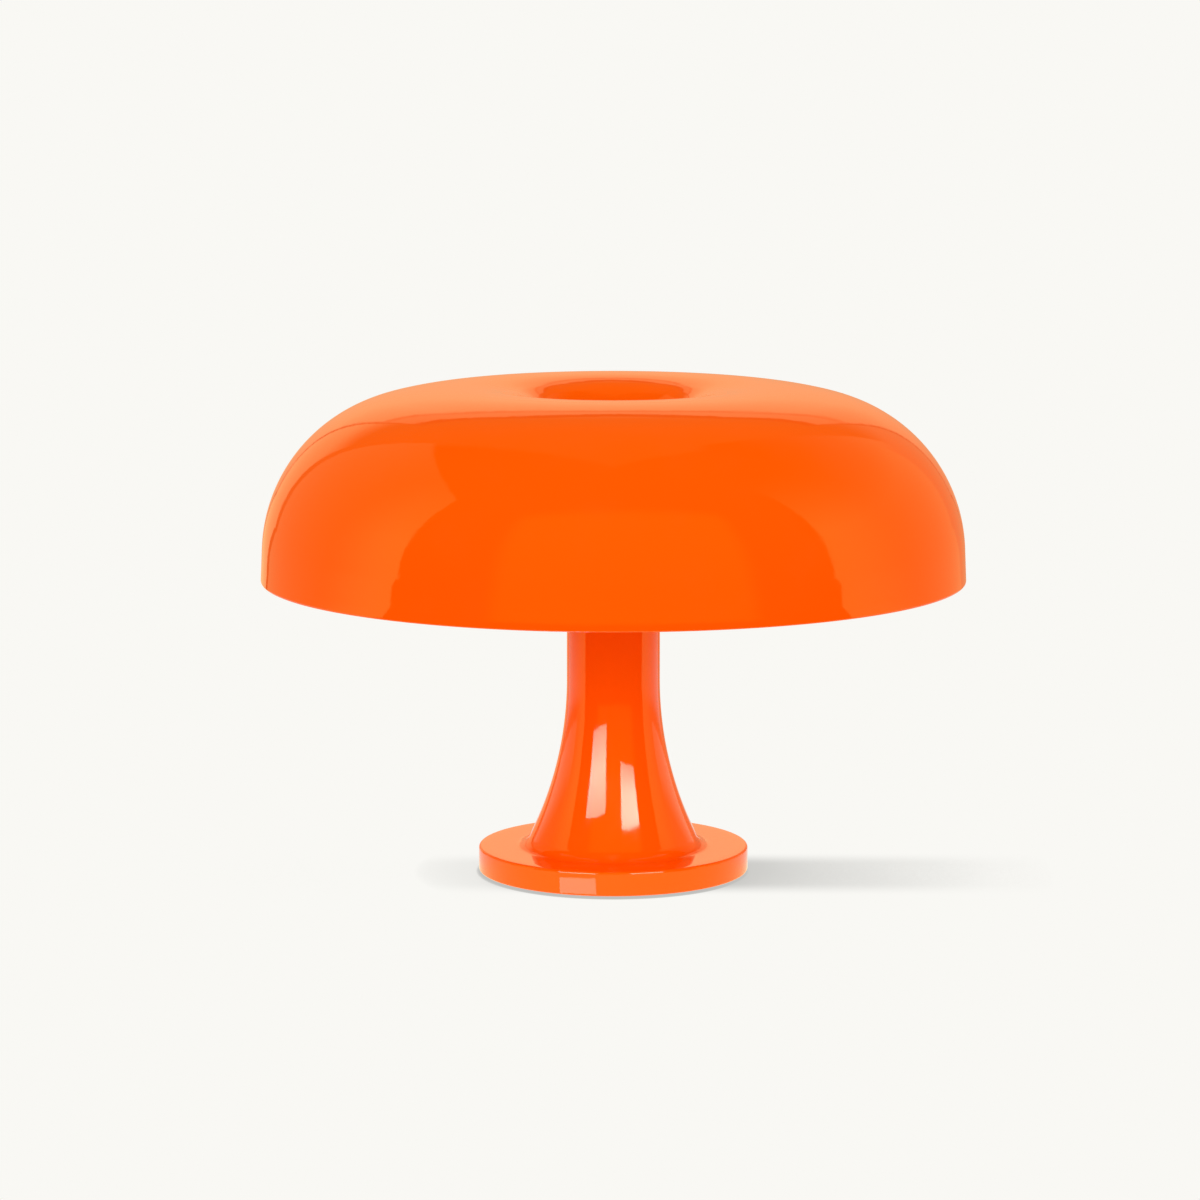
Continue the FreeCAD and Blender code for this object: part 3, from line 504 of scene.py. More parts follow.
def make_turning_tree():
    """Turns a section about Z. The section's own points carry their rounding and its steps."""
    tree = bpy.data.node_groups.new("turned_piece", "GeometryNodeTree")
    face = tree.interface
    face.new_socket("Section", in_out="INPUT", socket_type="NodeSocketGeometry")
    for kind, names in (
        ("Int", ("Turn Steps",)),
        ("Float", ("Longest Run", "Flutes", "Flute Depth", "Flute Root", "Flute Rim")),
        ("Float", ("Thread Pitch", "Thread Depth", "Thread Root", "Thread Start", "Thread End")),
        ("Material", ("Finish",)),
    ):
        for name in names:
            face.new_socket(name, in_out="INPUT", socket_type="NodeSocket" + kind)
    face.new_socket("Piece", in_out="OUTPUT", socket_type="NodeSocketGeometry")
    given = tree.nodes.new("NodeGroupInput").outputs
    made = tree.nodes.new("NodeGroupOutput").inputs

    outline = place(tree, "GeometryNodeMeshToCurve", {"Mesh": given["Section"]})
    rounding = place(tree, "GeometryNodeInputNamedAttribute", {"Name": "rounding"}, data_type="FLOAT")
    steps = place(tree, "GeometryNodeInputNamedAttribute", {"Name": "steps"}, data_type="INT")
    feeds = {"Curve": outline.outputs[0], "Count": steps.outputs[0], "Radius": rounding.outputs[0]}
    rounded = place(tree, "GeometryNodeFilletCurve", {**feeds, "Limit Radius": True}, mode="POLY")
    here = tree.nodes.new("GeometryNodeInputPosition").outputs[0]
    own = tree.nodes.new("GeometryNodeInputIndex").outputs[0]
    follower = place(tree, "GeometryNodeOffsetPointInCurve", {"Point Index": own, "Offset": 1})
    feeds = {"Value": here, "Index": follower.outputs["Point Index"]}
    ahead = place(tree, "GeometryNodeFieldAtIndex", feeds, data_type="FLOAT_VECTOR")
    run = vector(tree, "DISTANCE", here, ahead.outputs[0]).outputs["Value"]
    cuts = maths(tree, "FLOOR", maths(tree, "DIVIDE", run, given["Longest Run"]))
    divided = place(tree, "GeometryNodeSubdivideCurve", {"Curve": rounded.outputs[0], "Cuts": cuts})

    feeds = {"Resolution": given["Turn Steps"], "Radius": RING * MM}
    ring = place(tree, "GeometryNodeCurvePrimitiveCircle", feeds)
    feeds = {"Curve": ring.outputs[0], "Profile Curve": divided.outputs[0]}
    swept = place(tree, "GeometryNodeCurveToMesh", feeds)

    spot = tree.nodes.new("GeometryNodeInputPosition").outputs[0]
    axes = place(tree, "ShaderNodeSeparateXYZ", {"Vector": spot}).outputs
    angle = maths(tree, "ARCTAN2", axes["Y"], axes["X"])
    outward = vector(tree, "MULTIPLY", spot, (1.0, 1.0, 0.0)).outputs[0]
    radius = vector(tree, "LENGTH", outward).outputs["Value"]
    outward = vector(tree, "NORMALIZE", outward).outputs[0]

    swing = maths(tree, "COSINE", maths(tree, "MULTIPLY", angle, given["Flutes"]))
    hollow = eased(tree, swing, 0.0, 1.0)
    near_rim = eased(tree, radius, given["Flute Root"], given["Flute Rim"])
    flute = maths(tree, "MULTIPLY", maths(tree, "MULTIPLY", hollow, near_rim), given["Flute Depth"])

    turns = maths(tree, "DIVIDE", axes["Z"], given["Thread Pitch"])
    phase = maths(tree, "SUBTRACT", maths(tree, "MULTIPLY", turns, 2 * math.pi), angle)
    groove = spread(tree, maths(tree, "COSINE", phase), 1.0, -1.0, 0.0, 1.0)
    first, last, pitch = given["Thread Start"], given["Thread End"], given["Thread Pitch"]
    begun = eased(tree, axes["Z"], first, maths(tree, "ADD", first, pitch))
    ended = eased(tree, axes["Z"], last, maths(tree, "SUBTRACT", last, pitch))
    outside = maths(tree, "GREATER_THAN", radius, given["Thread Root"])
    thread = maths(tree, "MULTIPLY", maths(tree, "MULTIPLY", begun, ended), groove)
    thread = maths(tree, "MULTIPLY", maths(tree, "MULTIPLY", thread, outside), given["Thread Depth"])
    sunk = maths(tree, "MULTIPLY", maths(tree, "ADD", flute, thread), -1.0)
    feeds = {0: outward, "Scale": sunk}
    shift = place(tree, "ShaderNodeVectorMath", feeds, operation="SCALE").outputs[0]
    carved = place(tree, "GeometryNodeSetPosition", {"Geometry": swept.outputs[0], "Offset": shift})

    feeds = {"Geometry": carved.outputs[0], "Distance": WELD_REACH * MM}
    closed = place(tree, "GeometryNodeMergeByDistance", feeds)
    feeds = {"Geometry": closed.outputs[0], "Shade Smooth": True}
    smooth = place(tree, "GeometryNodeSetShadeSmooth", feeds, domain="FACE")
    corner = place(tree, "GeometryNodeInputMeshEdgeAngle").outputs["Unsigned Angle"]
    sharp = maths(tree, "GREATER_THAN", corner, math.radians(CREASE_ANGLE))
    feeds = {"Geometry": smooth.outputs[0], "Selection": sharp, "Shade Smooth": False}
    creased = place(tree, "GeometryNodeSetShadeSmooth", feeds, domain="EDGE")
    real = place(tree, "GeometryNodeRealizeInstances", {"Geometry": creased.outputs[0]})
    feeds = {"Geometry": real.outputs[0], "Material": given["Finish"]}
    clad = place(tree, "GeometryNodeSetMaterial", feeds)
    tree.links.new(clad.outputs[0], made["Piece"])
    return tree


turning = make_turning_tree()


def add_object(name, data):
    item = bpy.data.objects.new(name, data)
    scene.collection.objects.link(item)
    return item


def turned_piece(name, corners, where=None, **sizes):
    """Turns (radius, level, rounding, steps) corners, given in millimetres, into one closed mesh."""
    section = bpy.data.meshes.new(name)
    points = [((corner[0] - RING) * MM, -corner[1] * MM, 0.0) for corner in corners]
    edges = [(i, (i + 1) % len(points)) for i in range(len(points))]
    section.from_pydata(points, edges, [])
    roundings = section.attributes.new("rounding", "FLOAT", "POINT")
    counts = section.attributes.new("steps", "INT", "POINT")
    for i, (_, _, rounding, steps) in enumerate(corners):
        roundings.data[i].value = rounding * MM
        counts.data[i].value = steps if rounding > 0 else 1
    piece = add_object(name, section)
    shaper = piece.modifiers.new("turning", "NODES")
    shaper.node_group = turning
    wanted = {
        "Flutes": 0.0, "Flute Depth": 0.0, "Flute Root": 0.0, "Flute Rim": 1.0,
        "Thread Pitch": 1.0, "Thread Depth": 0.0, "Thread Root": 0.0,
        "Thread Start": 0.0, "Thread End": 1.0,
    }
    wanted.update(sizes)
    for item in turning.interface.items_tree:
        if item.item_type == "SOCKET" and item.in_out == "INPUT" and item.name in wanted:
            shaper[item.identifier] = wanted[item.name]
    settle(piece, where)
    return piece


def settle(piece, where=None):
    """Turns what the modifiers give into the piece's own plain mesh, outside facing out."""
    ready = piece.evaluated_get(bpy.context.evaluated_depsgraph_get())
    mesh = bpy.data.meshes.new_from_object(ready)
    piece.modifiers.clear()
    old = piece.data
    piece.data = mesh
    bpy.data.meshes.remove(old)
    if where is not None:
        mesh.transform(where)
    shell = bmesh.new()
    shell.from_mesh(mesh)
    if shell.calc_volume(signed=True) < 0:
        bmesh.ops.reverse_faces(shell, faces=shell.faces)
    shell.to_mesh(mesh)
    shell.free()
    mesh.update()


def inset(chain, wall):
    """The open chain of corners moved to its left by the wall, roundings kept parallel."""
    points = [Vector((c[0], c[1])) for c in chain]
    heads = [(b - a).normalized() for a, b in zip(points, points[1:])]
    sides = [Vector((-h.y, h.x)) for h in heads]
    moved = [(*(points[0] + sides[0] * wall), 0.0, 1)]
    for i in range(1, len(points) - 1):
        spot = points[i] + (sides[i - 1] + sides[i]) * (wall / (1 + sides[i - 1].dot(sides[i])))
        left = heads[i - 1].cross(heads[i]) > 0
        rounding = max(chain[i][2] - wall, 0.0) if left else chain[i][2] + wall
        moved.append((*spot, rounding, (chain[i][3] + 1) // 2))
    moved.append((*(points[-1] + sides[-1] * wall), 0.0, 1))
    return moved


def slope(angle):
    return math.tan(math.radians(angle))


def shade_section():
    """Rim, drawn-in side, shoulder, crown ring, dip and well, then back along the inside."""
    draft, brow, dip, pinch = (slope(a) for a in (SIDE_DRAFT, BROW_ANGLE, ROLL_ANGLE, WELL_DRAFT))
    brow_reach = CROWN_OUTER + BROW_RADIUS * slope(BROW_ANGLE / 2)
    roll_reach = CROWN_INNER - ROLL_RADIUS * slope(ROLL_ANGLE / 2)
    rise = (CROWN_LEVEL - RIM_LEVEL - (RIM_RADIUS - brow_reach) * brow) / (1 - draft * brow)
    bend_level = CROWN_LEVEL - (roll_reach - BEND_REACH) * dip
    lip_level = bend_level - (BEND_REACH - WELL_RADIUS) * slope(BEND_ANGLE)
    outside = [
        (RIM_RADIUS, RIM_LEVEL, RIM_ROUNDING, 6),
        (RIM_RADIUS - rise * draft, RIM_LEVEL + rise, SHOULDER_RADIUS, 44),
        (brow_reach, CROWN_LEVEL, BROW_RADIUS, 28),
        (roll_reach, CROWN_LEVEL, ROLL_RADIUS, 24),
        (BEND_REACH, bend_level, BEND_RADIUS, 24),
        (WELL_RADIUS, lip_level, LIP_RADIUS, 12),
        (WELL_RADIUS - (lip_level - WELL_FLOOR) * pinch, WELL_FLOOR, WELL_FLOOR_ROUNDING, 8),
        (NIPPLE_HOLE, WELL_FLOOR, 0.0, 1),
    ]
    inside = inset(outside, SHADE_WALL)
    inner_rim = RIM_RADIUS - SHADE_WALL / math.cos(math.radians(SIDE_DRAFT))
    inside[0] = (inner_rim, RIM_LEVEL, RIM_ROUNDING, 6)
    return outside + inside[::-1]


def stem_section():
    """Foot disc, its step, the flare and the stem up to the deck, then back along the inside."""
    flare_level = FOOT_TOP + (FLARE_REACH - STEM_RADIUS) / slope(FLARE_ANGLE)
    outside = [
        (FOOT_RADIUS, FOOT_BOTTOM, FOOT_BOTTOM_ROUNDING, 8),
        (FOOT_RADIUS, FOOT_TOP, FOOT_TOP_ROUNDING, 8),
        (FLARE_REACH, FOOT_TOP, FOOT_FILLET, 16),
        (STEM_RADIUS, flare_level, FLARE_RADIUS, 40),
        (STEM_RADIUS, DECK_TOP, DECK_ROUNDING, 6),
        (NIPPLE_HOLE, DECK_TOP, 0.0, 1),
    ]
    return outside + inset(outside, BODY_WALL)[::-1]


def bored(piece, radius, start, end):
    """Cuts a round hole, from start to end in millimetres, through a finished piece."""
    start, end = Vector(start) * MM, Vector(end) * MM
    drill = bpy.data.meshes.new("drill")
    shape = bmesh.new()
    bmesh.ops.create_cone(
        shape, cap_ends=True, segments=HOLE_STEPS,
        radius1=radius * MM, radius2=radius * MM, depth=(end - start).length,
    )
    turn = Vector((0, 0, 1)).rotation_difference(end - start).to_matrix().to_4x4()
    shape.transform(Matrix.Translation((start + end) / 2) @ turn)
    shape.to_mesh(drill)
    shape.free()
    cutter = add_object("drill", drill)
    cut = piece.modifiers.new("bore", "BOOLEAN")
    cut.operation = "DIFFERENCE"
    cut.solver = "EXACT"
    cut.object = cutter
    settle(piece)
    bpy.data.objects.remove(cutter)
    bpy.data.meshes.remove(drill)


def make_shade():
    sizes = {"Turn Steps": 360, "Longest Run": 5.0 * MM, "Finish": finishes["orange_plastic"]}
    piece = turned_piece("turned_shade", shade_section(), **sizes)
    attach(piece, "shade")
    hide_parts("shade")


def make_foot_and_stem():
    sizes = {"Turn Steps": 192, "Longest Run": 5.0 * MM, "Finish": finishes["orange_plastic"]}
    piece = turned_piece("turned_foot_and_stem", stem_section(), **sizes)
    bored(piece, GLAND_HOLE, *((0, reach, GLAND_LEVEL) for reach in GLAND_DRILL))
    bush = BUSH_REACH / math.sqrt(2)
    bored(piece, BUSH_HOLE, *((bush, -bush, level) for level in BUSH_DRILL))
    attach(piece, "base")
    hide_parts("base_stem")
    return piece


def make_knob():
    section = [
        (KNOB_BORE, KNOB_BOTTOM, 0.3, 2),
        (KNOB_RADIUS, KNOB_BOTTOM, 1.25, 6),
        (KNOB_RADIUS, KNOB_END, 2.5, 10),
        (DIMPLE_MOUTH, KNOB_END, 0.8, 4),
        (DIMPLE_FLOOR, KNOB_END - DIMPLE_DEPTH, 0.8, 4),
        (0.0, KNOB_END - DIMPLE_DEPTH, 0.0, 1),
        (0.0, KNOB_ROOF, 0.0, 1),
        (KNOB_BORE, KNOB_ROOF, 0.0, 1),
    ]
    sizes = {"Turn Steps": 200, "Longest Run": 1.2 * MM, "Finish": finishes["orange_plastic"]}
    sizes.update({"Flutes": FLUTES, "Flute Depth": FLUTE_DEPTH * MM})
    sizes.update({"Flute Root": FLUTE_ROOT * MM, "Flute Rim": KNOB_RADIUS * MM})
    piece = turned_piece("fluted_knob", section, **sizes)
    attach(piece, "knob")
    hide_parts("lock_knob")


def make_nipple():
    section = [
        (NIPPLE_BORE, NIPPLE_BOTTOM, 0.3, 2),
        (NIPPLE_RADIUS, NIPPLE_BOTTOM, 0.5, 2),
        (NIPPLE_RADIUS, NIPPLE_TOP, 0.5, 2),
        (NIPPLE_BORE, NIPPLE_TOP, 0.3, 2),
    ]
    sizes = {"Turn Steps": 48, "Longest Run": 0.22 * MM, "Finish": finishes["plated_steel"]}
    sizes.update({"Thread Pitch": NIPPLE_PITCH * MM, "Thread Depth": THREAD_DEPTH * MM})
    sizes.update({"Thread Root": (NIPPLE_RADIUS - THREAD_DEPTH) * MM})
    sizes.update({"Thread Start": NIPPLE_BOTTOM * MM, "Thread End": NIPPLE_TOP * MM})
    piece = turned_piece("threaded_nipple", section, **sizes)
    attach(piece, "base")
    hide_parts("stem_nipple")


def make_caps():
    """Rolled screw caps of the four bulbs, made along Z from the holder's rear face."""
    section = [
        (0.0, CAP_REAR, 0.0, 1),
        (CAP_NECK, CAP_REAR, 0.5, 3),
        (CAP_RADIUS, CAP_THREAD_START, 0.4, 3),
        (CAP_RADIUS, CAP_THREAD_END, 0.4, 3),
        (CAP_NECK, CAP_WAIST, 0.8, 4),
        (CAP_SKIRT, CAP_SKIRT_START, 0.8, 4),
        (CAP_SKIRT, CAP_FRONT, 0.3, 2),
        (CAP_SKIRT_BORE, CAP_FRONT, 0.0, 1),
        (CAP_SKIRT_BORE, CAP_SKIRT_START, 0.0, 1),
        (CAP_BORE, CAP_INNER_WAIST, 0.0, 1),
        (CAP_BORE, CAP_FLOOR, 0.0, 1),
        (0.0, CAP_FLOOR, 0.0, 1),
    ]
    sizes = {"Turn Steps": 64, "Longest Run": 0.35 * MM, "Finish": finishes["cap_metal"]}
    sizes.update({"Thread Pitch": CAP_PITCH * MM, "Thread Depth": THREAD_DEPTH * MM})
    sizes.update({"Thread Root": CAP_THREAD_ROOT * MM})
    sizes.update({"Thread Start": CAP_THREAD_START * MM, "Thread End": CAP_THREAD_END * MM})
    for i in range(4):
        where = (
            Matrix.Rotation(math.radians(90 * i), 4, "Z")
            @ Matrix.Translation((HOLDER_REAR * MM, 0, HOLDER_LEVEL * MM))
            @ Matrix.Rotation(math.radians(90), 4, "Y")
        )
        piece = turned_piece("screw_cap_" + str(i + 1), section, where=where, **sizes)
        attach(piece, "bulb_" + str(i + 1) + "_cap")
        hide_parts("bulb_cap_" + str(i + 1))


# Floor, light and camera

def heading(azimuth):
    """Level direction, 0 towards the camera's side, positive to its right."""
    turn = math.radians(azimuth)
    return Vector((math.sin(turn), -math.cos(turn), 0.0))


def azimuth_of(tree, way):
    axes = place(tree, "ShaderNodeSeparateXYZ", {"Vector": way}).outputs
    return maths(tree, "ARCTAN2", axes["X"], maths(tree, "MULTIPLY", axes["Y"], -1.0))


def card_view(tree, way, azimuth):
    """How far aside and how high a direction meets a flat upright card that faces the lamp."""
    depth = vector(tree, "DOT_PRODUCT", way, heading(azimuth)).outputs["Value"]
    aside = vector(tree, "DOT_PRODUCT", way, heading(azimuth + 90)).outputs["Value"]
    level = place(tree, "ShaderNodeSeparateXYZ", {"Vector": way}).outputs["Z"]
    nearest = 0.001
    ahead = maths(tree, "GREATER_THAN", depth, nearest)
    safe = maths(tree, "MAXIMUM", depth, nearest)
    across = maths(tree, "ABSOLUTE", maths(tree, "DIVIDE", aside, safe))
    return ahead, across, maths(tree, "DIVIDE", level, safe)


def flat_card(tree, way, azimuth, half_width, top, side_edge, top_edge):
    """Mask of an upright card, seen in the direction way."""
    ahead, across, up = card_view(tree, way, azimuth)
    within = eased(tree, across, half_width + side_edge, half_width)
    below = eased(tree, up, top + top_edge, top)
    return maths(tree, "MULTIPLY", maths(tree, "MULTIPLY", within, below), ahead)


def lit(tree, level, blue):
    """Light of a warm card at a level, fuller in the red, with a share of it in the blue."""
    warm = maths(tree, "MULTIPLY_ADD", level, WARM_GAIN, WARM_BASE)
    share = maths(tree, "MULTIPLY", level, blue)
    return place(tree, "ShaderNodeCombineColor", {"Red": warm, "Green": level, "Blue": share}).outputs[0]


def make_studio_cards():
    """What the gloss meets round the lamp: a tall card at each side, paper behind, a dim wall in front."""
    group = bpy.data.node_groups.new("studio_cards", "ShaderNodeTree")
    group.interface.new_socket("Direction", in_out="INPUT", socket_type="NodeSocketVector")
    group.interface.new_socket("Colour", in_out="OUTPUT", socket_type="NodeSocketColor")
    way = group.nodes.new("NodeGroupInput").outputs["Direction"]
    made = group.nodes.new("NodeGroupOutput")
    turn = azimuth_of(group, way)
    axes = place(group, "ShaderNodeSeparateXYZ", {"Vector": way}).outputs
    aside, level = axes["X"], axes["Z"]

    front = flat_card(group, way, azimuth=3, half_width=0.75, top=1.20, side_edge=0.25, top_edge=0.40)
    seen = blended(group, front, ROOM, FRONT_WALL)
    behind = eased_turn(group, maths(group, "ABSOLUTE", turn), 138, 146)
    seen = blended(group, behind, seen, BACK_WALL)

    left = flat_card(
        group, way, azimuth=-108.5, half_width=0.712, top=1.36, side_edge=0.02, top_edge=0.06
    )
    near = eased_turn(group, turn, -106, -74)
    low = spread(group, level, 0.34, 0.80, 1.0, 0.25)
    left_level = spread(group, maths(group, "MULTIPLY", near, low), 0.0, 1.0, 0.42, 1.30)
    seen = blended(group, left, seen, lit(group, left_level, blue=0.40))

    right = flat_card(group, way, azimuth=113, half_width=0.775, top=2.40, side_edge=0.03, top_edge=0.60)
    near = eased_turn(group, turn, 112, 76)
    low = spread(group, level, 0.42, 0.86, 1.0, 0.0)
    right_level = maths(group, "MULTIPLY", spread(group, near, 0.0, 1.0, 0.50, 1.10), low)
    seen = blended(group, right, seen, lit(group, right_level, blue=0.40))

    wing = flat_card(group, way, azimuth=180, half_width=0.635, top=0.40, side_edge=0.015, top_edge=0.27)
    wing_level = spread(group, aside, -0.3, 0.3, 0.72, 0.38)
    seen = blended(group, wing, seen, lit(group, wing_level, blue=0.45))
    ahead, across, up = card_view(group, way, 179.5)
    climb = maths(group, "SUBTRACT", up, maths(group, "MULTIPLY", across, 0.5))
    ridge = maths(group, "SUBTRACT", up, maths(group, "MULTIPLY", across, 0.27))
    side = spread(group, aside, -0.3, 0.3, 1.10, 0.90)
    rise = maths(group, "MULTIPLY", spread(group, level, -0.05, 0.22, 0.40, 0.70), side)
    for width, height, top, soft, brightness in (
        (0.342, climb, 0.560, 0.02, 0.08),
        (0.330, climb, 0.505, 0.012, 0.52),
        (0.328, ridge, 0.450, 0.010, 0.38),
        (0.320, ridge, 0.405, 0.025, rise),
    ):
        within = eased(group, across, width + 0.015, width)
        below = eased(group, height, top + soft, top)
        paper = maths(group, "MULTIPLY", maths(group, "MULTIPLY", within, below), ahead)
        seen = blended(group, paper, seen, lit(group, brightness, blue=0.48))
    group.links.new(seen, made.inputs["Colour"])
    return group


def cards_seen(tree, way):
    node = tree.nodes.new("ShaderNodeGroup")
    node.node_tree = studio_cards
    tree.links.new(way, node.inputs["Direction"])
    return node.outputs["Colour"]


def painted_shadow(tree, lean, reach):
    """Painted shadow from ambient occlusion, as if a soft light from the side lean were kept off the floor
    by the lamp's foot.
    """
    towards = place(tree, "ShaderNodeCombineXYZ", dict(enumerate(Vector(lean).normalized())))
    feeds = {"Distance": reach, "Normal": towards.outputs[0]}
    open_sky = place(tree, "ShaderNodeAmbientOcclusion", feeds, samples=16).outputs["AO"]
    hidden = maths(tree, "SUBTRACT", 1.0, open_sky)
    left_open = maths(tree, "EXPONENT", maths(tree, "MULTIPLY", hidden, SHADOW_GAIN))
    return maths(tree, "SUBTRACT", 1.0, left_open)


def make_floor():
    """Pale ground with a painted soft shadow to the camera, an even bounce to dull light, cards in the
    gloss.
    """
    finish, tree = empty_material("pale_ground")
    where = tree.nodes.new("ShaderNodeTexCoord").outputs["Object"]
    axes = place(tree, "ShaderNodeSeparateXYZ", {"Vector": where}).outputs
    reach = vector(tree, "LENGTH", where).outputs["Value"]
    turn = maths(tree, "ABSOLUTE", azimuth_of(tree, where))
    ray = tree.nodes.new("ShaderNodeLightPath").outputs

    # Painted shadow: the ground's colour darkened towards black beside the foot and under its edge, from
    # ambient occlusion
    depth = maths(tree, "ABSOLUTE", maths(tree, "ADD", axes["Y"], SHADOW_FORWARD))
    beside_foot = eased(tree, depth, *SHADOW_BAND)
    right = maths(tree, "MULTIPLY", painted_shadow(tree, lean=(-0.95, 0.0, 0.3), reach=0.14), SHADOW_RIGHT)
    left = maths(tree, "MULTIPLY", painted_shadow(tree, lean=(0.95, 0.0, 0.3), reach=0.03), SHADOW_LEFT)
    dimmed = maths(tree, "MULTIPLY", maths(tree, "ADD", right, left), beside_foot)
    under = painted_shadow(tree, lean=(0.0, 0.0, 1.0), reach=0.0022)
    contact = maths(tree, "MULTIPLY", under, SHADOW_CONTACT)
    shadow = blended(tree, maths(tree, "MAXIMUM", dimmed, contact), GROUND, BLACK)
    shadowed = place(tree, "ShaderNodeEmission", {"Color": shadow, "Strength": 1.0})
    bounce = place(tree, "ShaderNodeEmission", {"Color": FLOOR_FILL, "Strength": 1.0})

    beside = maths(
        tree, "MULTIPLY",
        eased_turn(tree, turn, 68, 78),
        eased_turn(tree, turn, 150, 140),
    )
    glow_start = spread(tree, beside, 0.0, 1.0, 0.20, 0.55)
    glow_end = spread(tree, beside, 0.0, 1.0, 0.45, 0.95)
    glow = eased(tree, reach, glow_end, glow_start)
    around = eased_turn(tree, turn, 72, 118)
    gloss = blended(tree, glow, cards_seen(tree, where), blended(tree, around, FLOOR_FRONT, FLOOR_BACK))
    far_ring = maths(tree, "MULTIPLY", eased(tree, reach, 0.20, 0.45), eased(tree, reach, 1.40, 1.00))
    ahead = eased_turn(tree, turn, 60, 50)
    gloss = blended(tree, maths(tree, "MULTIPLY", ahead, far_ring), gloss, ROOM)
    from_foot = vector(tree, "ADD", where, (0.0, STRIP_FORWARD, 0.0)).outputs[0]
    card_turn = azimuth_of(tree, from_foot)
    card_reach = vector(tree, "LENGTH", from_foot).outputs["Value"]
    strip = maths(
        tree, "MULTIPLY",
        maths(tree, "COMPARE", card_turn, math.radians(STRIP_TURN), math.radians(STRIP_HALF_TURN)),
        maths(tree, "COMPARE", card_reach, STRIP_REACH, STRIP_HALF_REACH),
    )
    gloss = blended(tree, strip, gloss, FOOT_STRIP)
    mirrored = place(tree, "ShaderNodeEmission", {"Color": gloss, "Strength": 1.0})

    ground = place(
        tree, "ShaderNodeMixShader", {0: ray["Is Camera Ray"], 1: bounce.outputs[0], 2: shadowed.outputs[0]}
    )
    mirror = maths(tree, "MAXIMUM", ray["Is Glossy Ray"], ray["Is Transmission Ray"])
    whole = place(tree, "ShaderNodeMixShader", {0: mirror, 1: ground.outputs[0], 2: mirrored.outputs[0]})
    out = tree.nodes.new("ShaderNodeOutputMaterial")
    tree.links.new(whole.outputs[0], out.inputs["Surface"])
    finish.cycles.emission_sampling = "NONE"
    mesh = bpy.data.meshes.new("floor")
    sides = ((-1, -1), (1, -1), (1, 1), (-1, 1))
    mesh.from_pydata([(x * FLOOR_HALF, y * FLOOR_HALF, 0) for x, y in sides], [], [(0, 1, 2, 3)])
    mesh.materials.append(finish)
    floor = add_object("floor", mesh)


def make_studio():
    """Pale all round to the camera, even fill for the body of a surface, cards for its gloss."""
    world = bpy.data.worlds.new("studio")
    scene.world = world
    world.use_nodes = True
    world.cycles.sampling_method = "NONE"
    tree = world.node_tree
    tree.nodes.clear()
    way = tree.nodes.new("ShaderNodeTexCoord").outputs["Generated"]
    ray = tree.nodes.new("ShaderNodeLightPath").outputs
    seen = maths(tree, "MAXIMUM", ray["Is Camera Ray"], ray["Is Transmission Ray"])
    colour = blended(tree, ray["Is Glossy Ray"], FILL, cards_seen(tree, way))
    colour = blended(tree, seen, colour, GROUND)
    sky = place(tree, "ShaderNodeBackground", {"Color": colour, "Strength": 1.0})
    out = tree.nodes.new("ShaderNodeOutputWorld")
    tree.links.new(sky.outputs[0], out.inputs["Surface"])


def aim(lamp, spot, target):
    lamp.location = spot
    lamp.rotation_euler = (Vector(target) - Vector(spot)).to_track_quat("-Z", "Y").to_euler()


def light_only(lamp, piece):
    group = bpy.data.collections.new(lamp.name + "_on")
    group.objects.link(piece)
    lamp.light_linking.receiver_collection = group


def direction(azimuth, elevation):
    rise = math.radians(elevation)
    return heading(azimuth) * math.cos(rise) + Vector((0, 0, math.sin(rise)))


def soft_sun(name, azimuth, elevation, level, spread_angle, tint=WHITE):
    light = bpy.data.lights.new(name, "SUN")
    light.energy = level * math.pi
    light.color = tint
    light.angle = math.radians(spread_angle)
    lamp = add_object(name, light)
    aim(lamp, direction(azimuth, elevation) * SUN_REACH, (0, 0, 0))
    lamp.visible_glossy = False
    return lamp


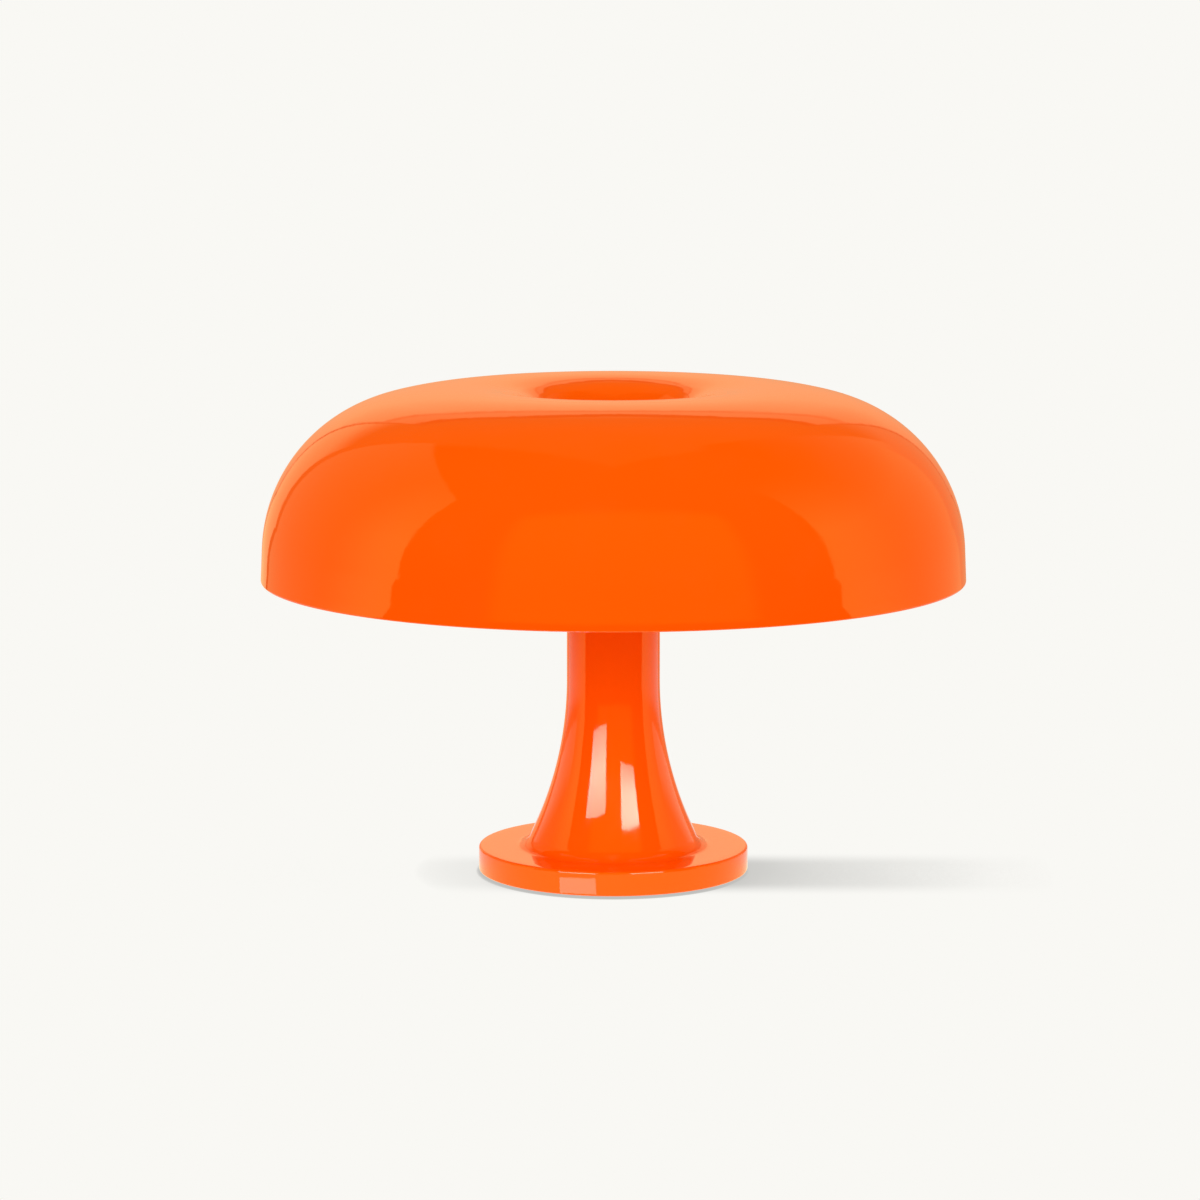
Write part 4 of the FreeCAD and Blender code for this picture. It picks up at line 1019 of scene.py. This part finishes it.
def glint_card(
    name, only, azimuth, elevation, size, level, tint, turn=0.0, roll=0.0, gain=EVEN, fall=EVEN
):
    """A bright card that only shows in the gloss of one piece; gain and fall spread along its height."""
    width, height = size
    light = bpy.data.lights.new(name, "AREA")
    light.shape = "RECTANGLE"
    light.size = width
    light.size_y = height
    light.energy = level * math.pi * width * height
    light.color = tint
    light.use_nodes = True
    tree = light.node_tree
    across = place(tree, "ShaderNodeNewGeometry").outputs["Parametric"]
    along = place(tree, "ShaderNodeSeparateXYZ", {"Vector": across}).outputs["Y"]
    strength = maths(tree, "MULTIPLY", spread(tree, along, *gain), spread(tree, along, *fall))
    tree.links.new(strength, tree.nodes["Emission"].inputs["Strength"])
    lamp = add_object(name, light)
    target = Vector((0, 0, GLINT_HEIGHT))
    aim(lamp, target + direction(azimuth, elevation) * GLINT_REACH, target)
    lamp.rotation_euler.rotate_axis("Y", math.radians(turn))
    lamp.rotation_euler.rotate_axis("Z", math.radians(roll))
    lamp.visible_diffuse = False
    lamp.visible_camera = False
    light_only(lamp, only)


def make_camera():
    camera = bpy.data.cameras.new("camera")
    camera.sensor_width = CAMERA_SENSOR
    camera.lens = CAMERA_LENS
    camera.clip_end = CAMERA_REACH
    view = add_object("camera", camera)
    view.location = CAMERA_SPOT
    view.rotation_euler = (math.radians(90 - CAMERA_TILT), 0.0, 0.0)
    scene.camera = view


studio_cards = make_studio_cards()
make_camera()
finish_frame()
make_shade()
stem = make_foot_and_stem()
make_knob()
make_nipple()
make_caps()
make_floor()
make_studio()
soft_sun("front_key", azimuth=-8, elevation=32, level=0.12, spread_angle=40)
stem_key = soft_sun("stem_key", azimuth=-4, elevation=22, level=0.26, spread_angle=30, tint=STEM_TINT)
light_only(stem_key, stem)
glint_card(
    "left_glint", stem, azimuth=-32, elevation=16, size=(0.90, 0.71), level=25.0, tint=GLINT_TINT,
    turn=10, gain=(0.0, 0.45, 0.5, 1.0), fall=(0.55, 1.0, 1.0, 0.60),
)
glint_card(
    "right_glint", stem, azimuth=30.3, elevation=22.9, size=(0.83, 0.505), level=25.0, tint=GLINT_TINT,
    turn=-25, roll=-3.6, gain=(0.0, 0.45, 0.45, 1.15), fall=(0.85, 1.0, 1.0, 0.80),
)
glint_card("foot_card", stem, azimuth=180, elevation=12, size=(0.50, 0.50), level=0.25, tint=TOP_TINT)
for name, azimuth, width in (("left_edge", -117, 1.28), ("right_edge", 122, 1.16)):
    glint_card(
        name, stem, azimuth=azimuth, elevation=6, size=(width, 0.90), level=0.55, tint=EDGE_TINT,
        fall=(0.50, 0.72, 1.0, 0.1),
    )
